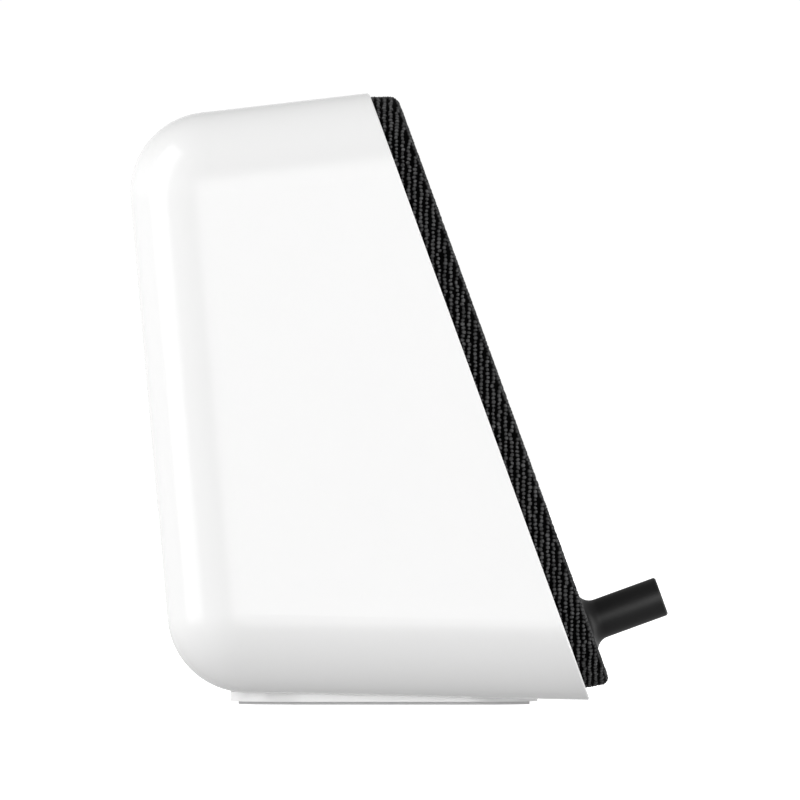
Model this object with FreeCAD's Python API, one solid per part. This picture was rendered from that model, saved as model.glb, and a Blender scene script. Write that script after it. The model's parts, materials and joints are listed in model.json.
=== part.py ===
"""Wedge-shaped table-top smart speaker.

A glossy white cabinet, open at its leaning front, carries a cloth-covered grille slab. One control knob
stands square out of the grille near its lower edge. Behind the grille are a baffle with a woofer, a
tweeter, two microphones, a row of light pipes and the knob's rotary encoder. The main board stands
against the back wall and carries the power socket, which opens through the wall.

Units are millimetres. X is the width, -Y is the front, +Z is up. The origin is the middle of the rubber
foot's underside. Shapes of the front are drawn in the FRONT frame: x across, y up the leaning rim plane,
z outwards from it. Shapes of the back are drawn in the BACK frame: y up the back wall, z outwards.
"""

import FreeCAD, Part
import math
import os

# ---- cabinet -----------------------------------------------------------------------------------------
RIM_WIDTH = 160.0          # outer width of the cabinet's mouth
RIM_HEIGHT = 161.5         # outer height of the mouth, measured up its lean
FRONT_LEAN = 20.0          # degrees that the mouth leans back from upright
BACK_LEAN = 5.0            # degrees that the back wall overhangs
TOP_FALL = 6.6             # degrees that the top falls towards the back
SIDE_DRAFT = 1.5           # degrees that each side narrows towards the back
RIM_FOOT_Y = -51.5         # the mouth's lower lip
RIM_FOOT_Z = 1.25
UNDERSIDE_RISE = 1.2       # degrees that the underside rises towards the back
BACK_FOOT_Y = 52.3         # where the back wall's plane meets the table
EDGE_RADIUS = 20.0         # rounding of the long edges and of the back's edges
WALL = 2.5
RIM_CHAMFER = 0.4
LIP_WALL = 1.0             # thinner wall of the rebate that the grille sits in
LIP_DEPTH = 1.0
LIP_STEP = 2.2             # how much taller the lip is along the foot

# ---- base --------------------------------------------------------------------------------------------
RUBBER = 0.75              # thickness of the rubber foot
FOOT_LENGTH = 73.0         # front to back
FOOT_WIDTH = 112.0
FOOT_CORNER = 18.0
PLINTH_MARGIN = 2.0        # plinth wider than the foot, each side
PLINTH_SCREW_X = 40.0
PLINTH_SCREW_ROWS = (-2.0, 27.0)
PLINTH_HEAD = 0.8          # height of the low screw heads

# ---- baffle and its fixings --------------------------------------------------------------------------
BAFFLE_FRONT = -1.2        # front face of the baffle, behind the rim plane
BAFFLE = 4.0               # its thickness
BAFFLE_GAP = 0.3           # clearance to the cabinet wall
GASKET = 0.5
LEDGE_WIDTH = 4.5
LEDGE = 3.0
BOSS_RADIUS = 3.8
BOSS_LENGTH = 12.8
BAFFLE_SCREW_EDGE = 5.5    # screws' distance from the inside of the wall
BAFFLE_SCREW_FOOT = 7.0    # and from the inside of the underside
BAFFLE_SCREW_COLUMN = 38.4  # screws of the head and the foot, each side of the middle
BAFFLE_SCREW_ROWS = (25.8, 80.8, 135.7)
PILOT_RADIUS = 1.25
SCREW_SHANK = 1.2
SCREW_HOLE = 1.7
SCREW_HEAD = 2.8
SCREW_HEAD_HEIGHT = 2.0

# ---- grille ------------------------------------------------------------------------------------------
GRILLE_FRONT = 5.9         # face of the cloth, in front of the rim plane
GRILLE_BACK = -0.8
GRILLE_HEAD_INSET = 1.4    # cloth's edges inside the cabinet's outline at the rim plane
GRILLE_FOOT_INSET = 3.6
GRILLE_SIDE_INSET = 1.5
GRILLE_HEAD_LEAN = 18.3    # degrees that each wall of the slab leans from the rim plane's normal
GRILLE_FOOT_LEAN = 10.1
GRILLE_SIDE_LEAN = 8.0
GRILLE_EDGE = 1.8
CLOTH = 0.6
CLOTH_GAP = 0.05
GRILLE_WALL = 2.6
GRILLE_PANEL = 2.0
WINDOW = 9.6
WINDOW_PITCH = 12.0
WINDOW_COLUMNS = 11
WINDOW_ROWS = 10
PEG_X = 63.0
PEG_ROWS = (33.0, 131.0)
PEG_RADIUS = 2.0
PEG_BOSS = 4.5
PEG_TIP = -7.4
GROMMET_WALL = 1.5
GROMMET_FLANGE = 0.8

# ---- knob and encoder --------------------------------------------------------------------------------
KNOB_ROW = 17.7            # height of the knob's axis up the rim plane
KNOB_RADIUS = 5.05
KNOB_TIP = 26.1
SKIRT_RADIUS = 8.5
SKIRT_EDGE = 0.35          # skirt's rim stands this far out of the cloth's face
SKIRT_DEPTH = 2.0          # and reaches this far behind it
SKIRT_WALL = 1.2
COVE_RADIUS = SKIRT_RADIUS - KNOB_RADIUS
KNOB_OPENING = 9.0         # radius of the hole in the cloth
TIP_EDGE = 0.4
CORE_RADIUS = 4.2
CORE_START = 4.4
CORE_END = 21.0
SHAFT_RADIUS = 3.0
SHAFT_END = 19.5
SHAFT_FLAT = 1.5           # distance of the D flat from the axis
TAIL_RADIUS = 1.5
TAIL_FLAT = 1.0
PUSH_TRAVEL = 0.5
RUNNING = 0.05             # radial clearance of a turning or sliding fit
BUSHING_RADIUS = 3.5
BUSHING_END = 2.0
BRACKET = 0.8
ENCODER_SIDE = 12.0
ENCODER_DEPTH = 4.5
SWITCH_DEPTH = 2.0
ROTOR_RADIUS = 4.3
ROTOR = 2.0
DOME_RADIUS = 2.4
DOME = 0.4
NUT_FLATS = 10.0
NUT = 2.0
WASHER = 0.6
WASHER_RADIUS = 5.6

# ---- woofer ------------------------------------------------------------------------------------------
WOOFER_ROW = 83.2
WOOFER_OPENING = 38.0
FLANGE_RADIUS = 42.0
FLANGE = 2.5
LUG_CIRCLE = 45.5
LUG_RADIUS = 4.5
BASKET_DEPTH = 22.0        # flange's face to the basket's foot
MAGNET_RADIUS = 30.0
MAGNET = 10.0
STEEL = 4.0                # thickness of the top plate and of the yoke
STEEL_RADIUS = 27.0
COIL_RADIUS = 12.7
FORMER_WALL = 0.25
WINDING = 0.43
POLE_RADIUS = 12.0
GAP_RADIUS = 13.6
CONE_RADIUS = 29.6
SURROUND_ROLL = 2.9
SOFT_SHEET = 0.5

# ---- tweeter -----------------------------------------------------------------------------------------
TWEETER_DROP = 17.8        # tweeter's axis below the inside of the head wall
TWEETER_FLANGE = 14.5
TWEETER_OPENING = 10.5
TWEETER_PLATE = 2.0
TWEETER_CUP = 10.6
TWEETER_DEPTH = 10.0
TWEETER_DOME = 9.2
TWEETER_SCREW_CIRCLE = 12.6

# ---- small boards on the baffle ----------------------------------------------------------------------
BOARD = 1.0                # thickness of the small boards
MIC_X = 54.0
MIC_DROP = 12.0            # microphones below the inside of the head wall
MIC_PORT = 1.0
MIC_BOOT = 1.5
LIGHT_ROW = 34.7
LIGHT_PITCH = 12.0
LIGHT_COUNT = 4
PIPE_RADIUS = 1.5
LED_GAP = 0.3

# ---- main board, on the back wall --------------------------------------------------------------------
MAIN_WIDTH = 104.0
MAIN_FOOT = 22.0
MAIN_HEAD = 106.0
MAIN_BOARD = 1.6
MAIN_STANDOFF = 14.5       # length of the bosses between wall and board
MAIN_BOSS = 3.4
MAIN_SCREW_X = 46.0
MAIN_SCREW_EDGE = 6.0

# ---- power socket ------------------------------------------------------------------------------------
SOCKET_ROW = 34.0
SOCKET_RADIUS = 5.25       # well for the plug's body
SOCKET_DEPTH = 6.0
SOCKET_WALL = 2.8
JACK_WIDTH = 9.0
JACK_HEIGHT = 11.0
JACK_BORE = 2.75
JACK_PIN = 1.0
JACK_GAP = 0.2

# ---- inside trim -------------------------------------------------------------------------------------
WADDING = 8.0
ANTENNA_LENGTH = 36.0
ANTENNA_WIDTH = 9.0
ANTENNA = 0.8
LEAD_RADIUS = 0.9
COAX_RADIUS = 0.6
RIBBON = 0.4
RIBBON_WIDTH = 8.0

# ---- what follows from them --------------------------------------------------------------------------
TWEETER_ROW = RIM_HEIGHT - WALL - TWEETER_DROP
MIC_ROW = RIM_HEIGHT - WALL - MIC_DROP
LEAN = math.radians(FRONT_LEAN)
BAFFLE_BACK = BAFFLE_FRONT - BAFFLE
WOOFER_FACE = BAFFLE_BACK - GASKET
FLANGE_BACK = WOOFER_FACE - FLANGE
BASKET_FOOT = WOOFER_FACE - BASKET_DEPTH
BRACKET_BACK = BAFFLE_BACK - BRACKET
ENCODER_BACK = BRACKET_BACK - ENCODER_DEPTH
SWITCH_BACK = ENCODER_BACK - SWITCH_DEPTH
BOARD_INSIDE = -WALL - MAIN_STANDOFF
FAR = 400.0


def vec(x, y, z):
    return FreeCAD.Vector(x, y, z)


def frame(origin, x_axis, y_axis, z_axis):
    """Placement that carries the given axes from the world's."""
    rows = zip(x_axis, y_axis, z_axis, origin)
    numbers = [value for row in rows for value in row]
    return FreeCAD.Placement(FreeCAD.Matrix(*numbers, 0, 0, 0, 1))


def in_frame(place, shape):
    moved = shape.copy()
    moved.Placement = place.multiply(moved.Placement)
    return moved


RIM_FOOT = (RIM_FOOT_Y, RIM_FOOT_Z)
RIM_HEAD = (RIM_FOOT_Y + RIM_HEIGHT * math.sin(LEAN), RIM_FOOT_Z + RIM_HEIGHT * math.cos(LEAN))
RISE = math.radians(UNDERSIDE_RISE)
OVERHANG = math.radians(BACK_LEAN)
FALL = math.radians(TOP_FALL)
FRONT = frame(
    (0, *RIM_FOOT),
    (1, 0, 0),
    (0, math.sin(LEAN), math.cos(LEAN)),
    (0, -math.cos(LEAN), math.sin(LEAN)),
)
BACK = frame(
    (0, BACK_FOOT_Y, 0),
    (-1, 0, 0),
    (0, math.sin(OVERHANG), math.cos(OVERHANG)),
    (0, math.cos(OVERHANG), -math.sin(OVERHANG)),
)
TOP = frame(
    (0, *RIM_HEAD),
    (1, 0, 0),
    (0, math.cos(FALL), -math.sin(FALL)),
    (0, math.sin(FALL), math.cos(FALL)),
)


# ---- drawing tools -----------------------------------------------------------------------------------
def disc(radius, low, high, x=0.0, y=0.0):
    return Part.makeCylinder(radius, high - low, vec(x, y, low))


def ring(outer, inner, low, high, x=0.0, y=0.0):
    return disc(outer, low, high, x, y).cut(disc(inner, low - 1, high + 1, x, y))


def box(x_range, y_range, z_range):
    size = [high - low for low, high in (x_range, y_range, z_range)]
    return Part.makeBox(*size, vec(x_range[0], y_range[0], z_range[0]))


def centred(width, height, low, high, x=0.0, y=0.0):
    """Box of a width and height about x and y, between two z levels."""
    return box((x - width / 2, x + width / 2), (y - height / 2, y + height / 2), (low, high))


def turned(outline, x=0.0, y=0.0):
    """Solid of revolution about z, from a closed outline of (radius, z) points."""
    points = [vec(radius, 0, level) for radius, level in outline]
    profile = Part.Face(Part.makePolygon(points + points[:1]))
    solid = profile.revolve(vec(0, 0, 0), vec(0, 0, 1), 360)
    solid.translate(vec(x, y, 0))
    return solid


def turned_wire(edges, x=0.0, y=0.0):
    """Solid of revolution about z, from edges drawn in the XZ plane."""
    solid = Part.Face(Part.Wire(Part.__sortEdges__(edges))).revolve(vec(0, 0, 0), vec(0, 0, 1), 360)
    solid.translate(vec(x, y, 0))
    return solid


def line(start, end):
    return Part.LineSegment(vec(start[0], 0, start[1]), vec(end[0], 0, end[1])).toShape()


def arc(start, middle, end):
    points = [vec(point[0], 0, point[1]) for point in (start, middle, end)]
    return Part.Arc(*points).toShape()


def group(shapes):
    return Part.makeCompound(list(shapes))


def flat_sided(shape, flat):
    """The shape with everything beyond y = flat cut away, for a D-shaped shaft or bore."""
    return shape.cut(box((-FAR, FAR), (flat, FAR), (-FAR, FAR)))


def hexahedron(near, far):
    """Solid between two quadrilaterals with matching corners."""
    inward = (near[1] - near[0]).cross(near[2] - near[1])
    if inward.dot(far[0] - near[0]) > 0:
        near, far = far, near
    quads = [near, far[::-1]]
    quads += [[near[(i + 1) % 4], near[i], far[i], far[(i + 1) % 4]] for i in range(4)]
    faces = [Part.Face(Part.makePolygon(quad + quad[:1])) for quad in quads]
    return Part.Solid(Part.makeShell(faces))


def edges_off(shape, level):
    """The edges that don't lie in the plane z = level."""
    near = 1e-6
    return [e for e in shape.Edges if any(abs(v.Z - level) > near for v in e.Vertexes)]


def edges_on(shape, level):
    near = 1e-6
    return [
        e
        for e in shape.Edges
        if abs(e.BoundBox.ZMin - level) < near and abs(e.BoundBox.ZMax - level) < near
    ]


def screw(shank_length, shank=SCREW_SHANK, head=SCREW_HEAD, height=SCREW_HEAD_HEIGHT):
    """Cross-recessed pan-head screw: its head stands on z = 0, its shank reaches down."""
    body = turned(
        [
            (0, -shank_length),
            (shank * 0.4, -shank_length),
            (shank, -shank_length + shank),
            (shank, 0),
            (head, 0),
            (head, height * 0.5),
            (head * 0.8, height),
            (0, height),
        ]
    )
    slot = centred(head * 1.1, head * 0.25, height * 0.45, height + 1)
    slot = slot.fuse(centred(head * 0.25, head * 1.1, height * 0.45, height + 1))
    return body.cut(slot)


def placed(shape, x, y, z, upside_down=False):
    moved = shape.copy()
    if upside_down:
        moved.rotate(vec(0, 0, 0), vec(1, 0, 0), 180)
    moved.translate(vec(x, y, z))
    return moved


def world_of(place, x, y, z):
    return place.multVec(vec(x, y, z))


def lead(points, radius):
    """Round lead along straight runs joined by tangent arcs."""
    edges = []
    start = points[0]
    for i in range(1, len(points) - 1):
        before = points[i] - points[i - 1]
        after = points[i + 1] - points[i]
        half_turn = before.getAngle(after) / 2
        setback = 0.45 * min(before.Length, after.Length)
        into = points[i] - before.normalize() * setback
        out_of = points[i] + after.normalize() * setback
        inward = (into + out_of) * 0.5 - points[i]
        bend = setback / math.tan(half_turn)
        middle = points[i] + inward.normalize() * (bend / math.cos(half_turn) - bend)
        edges += [Part.LineSegment(start, into).toShape(), Part.Arc(into, middle, out_of).toShape()]
        start = out_of
    edges.append(Part.LineSegment(start, points[-1]).toShape())
    heading = points[1] - points[0]
    section = Part.Wire(Part.makeCircle(radius, points[0], heading))
    return Part.Wire(edges).makePipeShell([section], True, False)


def ribbon(points, x, width=RIBBON_WIDTH):
    """Flat ribbon cable of constant width across X, along (y, z) points."""
    pieces = []
    for start, end in zip(points, points[1:]):
        run = vec(0, end[0] - start[0], end[1] - start[1])
        strip = box((-width / 2, width / 2), (0, run.Length), (-RIBBON / 2, RIBBON / 2))
        strip.rotate(vec(0, 0, 0), vec(1, 0, 0), math.degrees(math.atan2(run.z, run.y)))
        strip.translate(vec(x, *start))
        pieces.append(strip)
    for bend in points[1:-1]:
        pieces.append(Part.makeCylinder(RIBBON / 2, width, vec(x - width / 2, *bend), vec(1, 0, 0)))
    return pieces[0].fuse(pieces[1:]).removeSplitter()


# ---- cabinet -----------------------------------------------------------------------------------------
def meeting(first, second):
    """Where two lines meet, each a point and a direction in the YZ plane."""
    (p, d), (q, e) = first, second
    cross = d[0] * e[1] - d[1] * e[0]
    along = ((q[0] - p[0]) * e[1] - (q[1] - p[1]) * e[0]) / cross
    return (p[0] + along * d[0], p[1] + along * d[1])


def shifted(point, normal, distance):
    return (point[0] + normal[0] * distance, point[1] + normal[1] * distance)


def block(inset, forward=30.0):
    """The cabinet's rounded form, each wall moved in by inset, running on in front of the rim plane.
    Drawn in the FRONT frame."""
    sin_l, cos_l = math.sin(LEAN), math.cos(LEAN)
    sin_b, cos_b = math.sin(OVERHANG), math.cos(OVERHANG)
    sin_t, cos_t = math.sin(FALL), math.cos(FALL)
    sin_u, cos_u = math.sin(RISE), math.cos(RISE)
    under = (shifted(RIM_FOOT, (-sin_u, cos_u), inset), (cos_u, sin_u))
    over = (shifted(RIM_HEAD, (-sin_t, -cos_t), inset), (cos_t, -sin_t))
    back = (shifted((BACK_FOOT_Y, 0), (-cos_b, sin_b), inset), (sin_b, cos_b))
    mouth = (shifted(RIM_FOOT, (-cos_l, sin_l), forward), (sin_l, cos_l))
    draft = math.radians(SIDE_DRAFT)
    left, right = [], []
    for one, other in ((under, mouth), (under, back), (over, back), (over, mouth)):
        corner = meeting(one, other)
        dy, dz = corner[0] - RIM_FOOT[0], corner[1] - RIM_FOOT[1]
        up = dy * sin_l + dz * cos_l
        out = -dy * cos_l + dz * sin_l
        half = RIM_WIDTH / 2 - inset / math.cos(draft) + out * math.tan(draft)
        left.append(vec(-half, up, out))
        right.append(vec(half, up, out))
    solid = hexahedron(left, right)
    return solid.makeFillet(max(EDGE_RADIUS - inset, 1.0), edges_off(solid, forward))


def between(shape, low, high):
    """The part of a shape between two levels of the FRONT frame."""
    return shape.common(box((-FAR, FAR), (-FAR, FAR), (low, high)))


def baffle_screw_places():
    edge = WALL + BAFFLE_SCREW_EDGE
    side = RIM_WIDTH / 2 - edge
    places = [(x, row) for x in (-side, side) for row in BAFFLE_SCREW_ROWS]
    ends = (WALL + BAFFLE_SCREW_FOOT, RIM_HEIGHT - edge)
    return places + [(x, row) for x in (-BAFFLE_SCREW_COLUMN, BAFFLE_SCREW_COLUMN) for row in ends]


def main_screw_places():
    rows = (MAIN_FOOT + MAIN_SCREW_EDGE, MAIN_HEAD - MAIN_SCREW_EDGE)
    return [(x, row) for x in (-MAIN_SCREW_X, MAIN_SCREW_X) for row in rows]


def plinth_screw_places():
    return [(x, y) for x in (-PLINTH_SCREW_X, PLINTH_SCREW_X) for y in PLINTH_SCREW_ROWS]


def underside(y):
    """Height of the cabinet's underside at a distance y behind the origin."""
    return RIM_FOOT_Z + (y - RIM_FOOT_Y) * math.tan(RISE)


def rebate():
    """Room for the grille inside the lip, which is taller along the foot."""
    room = between(block(LIP_WALL, 40.0), -LIP_DEPTH, FAR)
    raised = placed(room, 0, LIP_STEP, 0)
    return room.common(raised)


def cabinet_shell():
    outside = between(block(0), -FAR, 0)
    outside = outside.makeChamfer(RIM_CHAMFER, edges_on(outside, 0))
    shell = outside.cut(block(WALL, 40.0)).cut(rebate())
    ledge_face = BAFFLE_BACK - GASKET
    ledge = between(block(WALL * 0.6), ledge_face - LEDGE, ledge_face).cut(block(WALL + LEDGE_WIDTH))
    front_bosses = [
        disc(BOSS_RADIUS, BAFFLE_BACK - BOSS_LENGTH, BAFFLE_BACK, x, y) for x, y in baffle_screw_places()
    ]
    kept = between(block(WALL * 0.6), -FAR, BAFFLE_BACK)
    inside = ledge.fuse([boss.common(kept) for boss in front_bosses])
    pilots = group(
        disc(PILOT_RADIUS, BAFFLE_BACK - BOSS_LENGTH + 2, BAFFLE_BACK + 1, x, y)
        for x, y in baffle_screw_places()
    )
    shell = in_frame(FRONT, shell.fuse(inside).cut(pilots))

    back_bosses = [disc(MAIN_BOSS, BOARD_INSIDE, -WALL / 2, x, y) for x, y in main_screw_places()]
    back_bosses.append(disc(SOCKET_RADIUS + SOCKET_WALL, -SOCKET_DEPTH, -WALL / 2, 0, SOCKET_ROW))
    back_holes = [
        disc(PILOT_RADIUS, BOARD_INSIDE - 1, -WALL - 1, x, y) for x, y in main_screw_places()
    ]
    back_holes.append(disc(SOCKET_RADIUS, -SOCKET_DEPTH - 1, 1, 0, SOCKET_ROW))
    shell = shell.fuse([in_frame(BACK, boss) for boss in back_bosses])
    shell = shell.cut([in_frame(BACK, hole) for hole in back_holes])

    places = plinth_screw_places()
    floor_bosses = [disc(BOSS_RADIUS, underside(y) + 1, underside(y) + 9, x, y) for x, y in places]
    floor_holes = [disc(PILOT_RADIUS, 0, underside(y) + 8, x, y) for x, y in places]
    return shell.fuse(floor_bosses).cut(floor_holes).removeSplitter()


def rounded_plate(width, length, corner, low, high):
    plate = centred(width, length, low, high)
    upright = [e for e in plate.Edges if abs(e.Vertexes[0].Z - e.Vertexes[-1].Z) > 1e-6]
    return plate.makeFillet(corner, upright)


def base_plinth():
    """Low white plate between the foot and the cabinet. Its top follows the cabinet's underside."""
    wider = 2 * PLINTH_MARGIN
    tall = RUBBER + 2 * WALL
    corner = FOOT_CORNER + PLINTH_MARGIN
    plate = rounded_plate(FOOT_WIDTH + wider, FOOT_LENGTH + wider, corner, RUBBER, tall)
    above = box((-FAR, FAR), (0, FAR), (0, FAR))
    above.rotate(vec(0, 0, 0), vec(1, 0, 0), UNDERSIDE_RISE)
    above.translate(vec(0, *RIM_FOOT))
    plate = plate.cut(above)
    cuts = []
    for x, y in plinth_screw_places():
        cuts.append(disc(SCREW_HEAD + 0.4, 0, RUBBER + PLINTH_HEAD + 0.1, x, y))
        cuts.append(disc(SCREW_HOLE, 0, tall, x, y))
    return plate.cut(cuts)


def plinth_screws():
    low_head = screw(6.5, height=PLINTH_HEAD)
    seat = RUBBER + PLINTH_HEAD + 0.1
    return group(placed(low_head, x, y, seat, True) for x, y in plinth_screw_places())


def foot_rubber():
    return rounded_plate(FOOT_WIDTH, FOOT_LENGTH, FOOT_CORNER, 0, RUBBER)


# ---- baffle ------------------------------------------------------------------------------------------
def light_places():
    first = -LIGHT_PITCH * (LIGHT_COUNT - 1) / 2
    return [first + LIGHT_PITCH * i for i in range(LIGHT_COUNT)]


def peg_places():
    return [(x, row) for x in (-PEG_X, PEG_X) for row in PEG_ROWS]


def woofer_screw_places():
    reach = LUG_CIRCLE * math.sqrt(0.5)
    return [(x, WOOFER_ROW + y) for x in (-reach, reach) for y in (-reach, reach)]


def tweeter_screw_places():
    turns = [math.radians(90 + 120 * i) for i in range(3)]
    circle = TWEETER_SCREW_CIRCLE
    return [(circle * math.cos(t), TWEETER_ROW + circle * math.sin(t)) for t in turns]


def front_baffle():
    plate = between(block(WALL + BAFFLE_GAP), BAFFLE_BACK, BAFFLE_FRONT)
    low, high = BAFFLE_BACK - 1, BAFFLE_FRONT + 1
    head_seat = BAFFLE_FRONT - SCREW_HEAD_HEIGHT - 0.2
    cuts = [
        disc(WOOFER_OPENING, low, high, 0, WOOFER_ROW),
        disc(TWEETER_OPENING, low, high, 0, TWEETER_ROW),
        disc(BUSHING_RADIUS + 0.1, low, high, 0, KNOB_ROW),
    ]
    cuts += [disc(MIC_PORT, low, high, x, MIC_ROW) for x in (-MIC_X, MIC_X)]
    cuts += [disc(PIPE_RADIUS + RUNNING, low, high, x, LIGHT_ROW) for x in light_places()]
    cuts += [disc(PEG_RADIUS + RUNNING + GROMMET_WALL, low, high, x, y) for x, y in peg_places()]
    cuts += [disc(SCREW_HOLE, low, high, x, y) for x, y in baffle_screw_places()]
    cuts += [disc(SCREW_HEAD + 0.4, head_seat, high, x, y) for x, y in baffle_screw_places()]
    cuts += [disc(PILOT_RADIUS, low, BAFFLE_FRONT - 0.4, x, y) for x, y in woofer_screw_places()]
    cuts += [disc(0.95, low, BAFFLE_FRONT - 0.6, x, y) for x, y in tweeter_screw_places()]
    return plate.cut(cuts)


def baffle_gasket():
    strip = between(block(WALL + BAFFLE_GAP), BAFFLE_BACK - GASKET, BAFFLE_BACK)
    strip = strip.cut(block(WALL + LEDGE_WIDTH - 0.3, 40.0))
    clear = BOSS_RADIUS + 0.2
    return strip.cut([disc(clear, -FAR, 0, x, y) for x, y in baffle_screw_places()])


def baffle_screws():
    seat = BAFFLE_FRONT - SCREW_HEAD_HEIGHT - 0.2
    return group(placed(screw(10.0), x, y, seat) for x, y in baffle_screw_places())


def grille_grommets():
    hole = PEG_RADIUS + RUNNING
    outer = hole + GROMMET_WALL
    spools = []
    for x, y in peg_places():
        spool = ring(outer - RUNNING, hole, BAFFLE_BACK - GROMMET_FLANGE, BAFFLE_FRONT, x, y)
        collar = ring(outer + 1.0, hole, BAFFLE_BACK - GROMMET_FLANGE, BAFFLE_BACK, x, y)
        spools.append(spool.fuse(collar).removeSplitter())
    return group(spools)


# ---- grille ------------------------------------------------------------------------------------------
def slab(inset, low, high, edge=0.0):
    """The grille's form between two levels, each wall moved in by inset, its front edge rounded. It is
    drawn taller and cut to its levels, so that the corners' rounding always finds room."""
    head, foot, side = (math.radians(a) for a in (GRILLE_HEAD_LEAN, GRILLE_FOOT_LEAN, GRILLE_SIDE_LEAN))
    left, right = [], []
    for level in (low - EDGE_RADIUS, high + EDGE_RADIUS):
        head_row = RIM_HEIGHT - GRILLE_HEAD_INSET - inset / math.cos(head) - level * math.tan(head)
        foot_row = GRILLE_FOOT_INSET + inset / math.cos(foot) - level * math.tan(foot)
        half = RIM_WIDTH / 2 - GRILLE_SIDE_INSET - inset / math.cos(side) - level * math.tan(side)
        rows = (foot_row, head_row) if level < low else (head_row, foot_row)
        left += [vec(-half, row, level) for row in rows]
        right += [vec(half, row, level) for row in rows]
    solid = hexahedron(left, right)
    long_edges = [e for e in solid.Edges if abs(e.Vertexes[0].Z - e.Vertexes[-1].Z) > 1e-6]
    solid = between(solid.makeFillet(EDGE_RADIUS - LIP_WALL - inset, long_edges), low, high)
    if edge > 0:
        solid = solid.makeFillet(edge, edges_on(solid, high))
    return solid


def grille_cloth():
    cloth = slab(0, GRILLE_BACK, GRILLE_FRONT, GRILLE_EDGE)
    cloth = cloth.cut(slab(CLOTH, GRILLE_BACK - 1, GRILLE_FRONT - CLOTH, GRILLE_EDGE - CLOTH))
    tuck = disc(KNOB_OPENING + CLOTH, GRILLE_FRONT - 3.5, GRILLE_FRONT - CLOTH / 2, 0, KNOB_ROW)
    return cloth.fuse(tuck).cut(disc(KNOB_OPENING, -FAR, FAR, 0, KNOB_ROW)).removeSplitter()


def window_places():
    """Centres of the frame's windows, clear of the pegs."""
    first_x = -WINDOW_PITCH * (WINDOW_COLUMNS - 1) / 2
    first_row = KNOB_ROW + KNOB_OPENING + WINDOW_PITCH
    places = []
    for i in range(WINDOW_COLUMNS):
        for j in range(WINDOW_ROWS):
            x, y = first_x + WINDOW_PITCH * i, first_row + WINDOW_PITCH * j
            clear = all(math.hypot(x - px, y - py) > PEG_BOSS + WINDOW * 0.8 for px, py in peg_places())
            if clear:
                places.append((x, y))
    return places


def grille_frame():
    skin = CLOTH + CLOTH_GAP
    face = GRILLE_FRONT - skin
    panel_back = face - GRILLE_PANEL
    outside = slab(skin, GRILLE_BACK, face, GRILLE_EDGE - skin)
    body = outside.cut(slab(skin + GRILLE_WALL, GRILLE_BACK - 1, panel_back))
    hole = KNOB_OPENING + skin
    additions = [disc(hole + 2.0, GRILLE_BACK, panel_back + 0.1, 0, KNOB_ROW).common(outside)]
    for x, y in peg_places():
        additions.append(disc(PEG_BOSS, GRILLE_BACK, panel_back + 0.1, x, y))
        additions.append(disc(PEG_RADIUS, PEG_TIP, GRILLE_BACK + 0.1, x, y))
    body = body.fuse(additions)
    windows = [centred(WINDOW, WINDOW, panel_back - 1, face + 1, x, y) for x, y in window_places()]
    return body.cut(windows + [disc(hole, -FAR, FAR, 0, KNOB_ROW)]).removeSplitter()


# ---- knob and encoder, all on the knob's axis --------------------------------------------------------
def on_knob_axis(shape):
    return placed(shape, 0, KNOB_ROW, 0)


def knob_cap():
    rim = GRILLE_FRONT + SKIRT_EDGE
    foot = GRILLE_FRONT - SKIRT_DEPTH
    ceiling = rim - 0.45
    bore = CORE_RADIUS + 0.02
    cove_top = rim + COVE_RADIUS
    cove_middle = COVE_RADIUS * (1 - math.sqrt(0.5))
    edges = [
        line((SKIRT_RADIUS, foot), (SKIRT_RADIUS, rim)),
        arc((SKIRT_RADIUS, rim), (KNOB_RADIUS + cove_middle, rim + cove_middle), (KNOB_RADIUS, cove_top)),
        line((KNOB_RADIUS, cove_top), (KNOB_RADIUS, KNOB_TIP - TIP_EDGE)),
        line((KNOB_RADIUS, KNOB_TIP - TIP_EDGE), (KNOB_RADIUS - TIP_EDGE, KNOB_TIP)),
        line((KNOB_RADIUS - TIP_EDGE, KNOB_TIP), (0, KNOB_TIP)),
        line((0, KNOB_TIP), (0, CORE_END + RUNNING)),
        line((0, CORE_END + RUNNING), (bore, CORE_END + RUNNING)),
        line((bore, CORE_END + RUNNING), (bore, ceiling)),
        line((bore, ceiling), (SKIRT_RADIUS - SKIRT_WALL, ceiling)),
        line((SKIRT_RADIUS - SKIRT_WALL, ceiling), (SKIRT_RADIUS - SKIRT_WALL, foot)),
        line((SKIRT_RADIUS - SKIRT_WALL, foot), (SKIRT_RADIUS, foot)),
    ]
    return on_knob_axis(turned_wire(edges))


def knob_core():
    bore = flat_sided(disc(SHAFT_RADIUS + 0.02, CORE_START - 1, SHAFT_END + 0.5), SHAFT_FLAT + 0.02)
    return on_knob_axis(disc(CORE_RADIUS, CORE_START, CORE_END).cut(bore))


def encoder_shaft():
    flat_start = CORE_START - 0.2
    plain = disc(SHAFT_RADIUS, BRACKET_BACK - 0.3, flat_start)
    gripped = flat_sided(disc(SHAFT_RADIUS, flat_start, SHAFT_END), SHAFT_FLAT)
    dome_top = SWITCH_BACK + DOME + DOME
    tail_end = dome_top + PUSH_TRAVEL + 0.1
    tail = flat_sided(disc(TAIL_RADIUS, tail_end, BRACKET_BACK - 0.3), TAIL_FLAT)
    return on_knob_axis(plain.fuse([gripped, tail]).removeSplitter())


def encoder_rotor():
    low = ENCODER_BACK + 1.0
    bore = flat_sided(disc(TAIL_RADIUS + RUNNING, low - 1, low + ROTOR + 1), TAIL_FLAT + RUNNING)
    detents = [disc(0.5, low - 1, low + ROTOR + 1, ROTOR_RADIUS, 0) for i in range(12)]
    for i, notch in enumerate(detents):
        notch.rotate(vec(0, 0, 0), vec(0, 0, 1), 30 * i)
    return on_knob_axis(disc(ROTOR_RADIUS, low, low + ROTOR).cut([bore] + detents))


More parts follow.
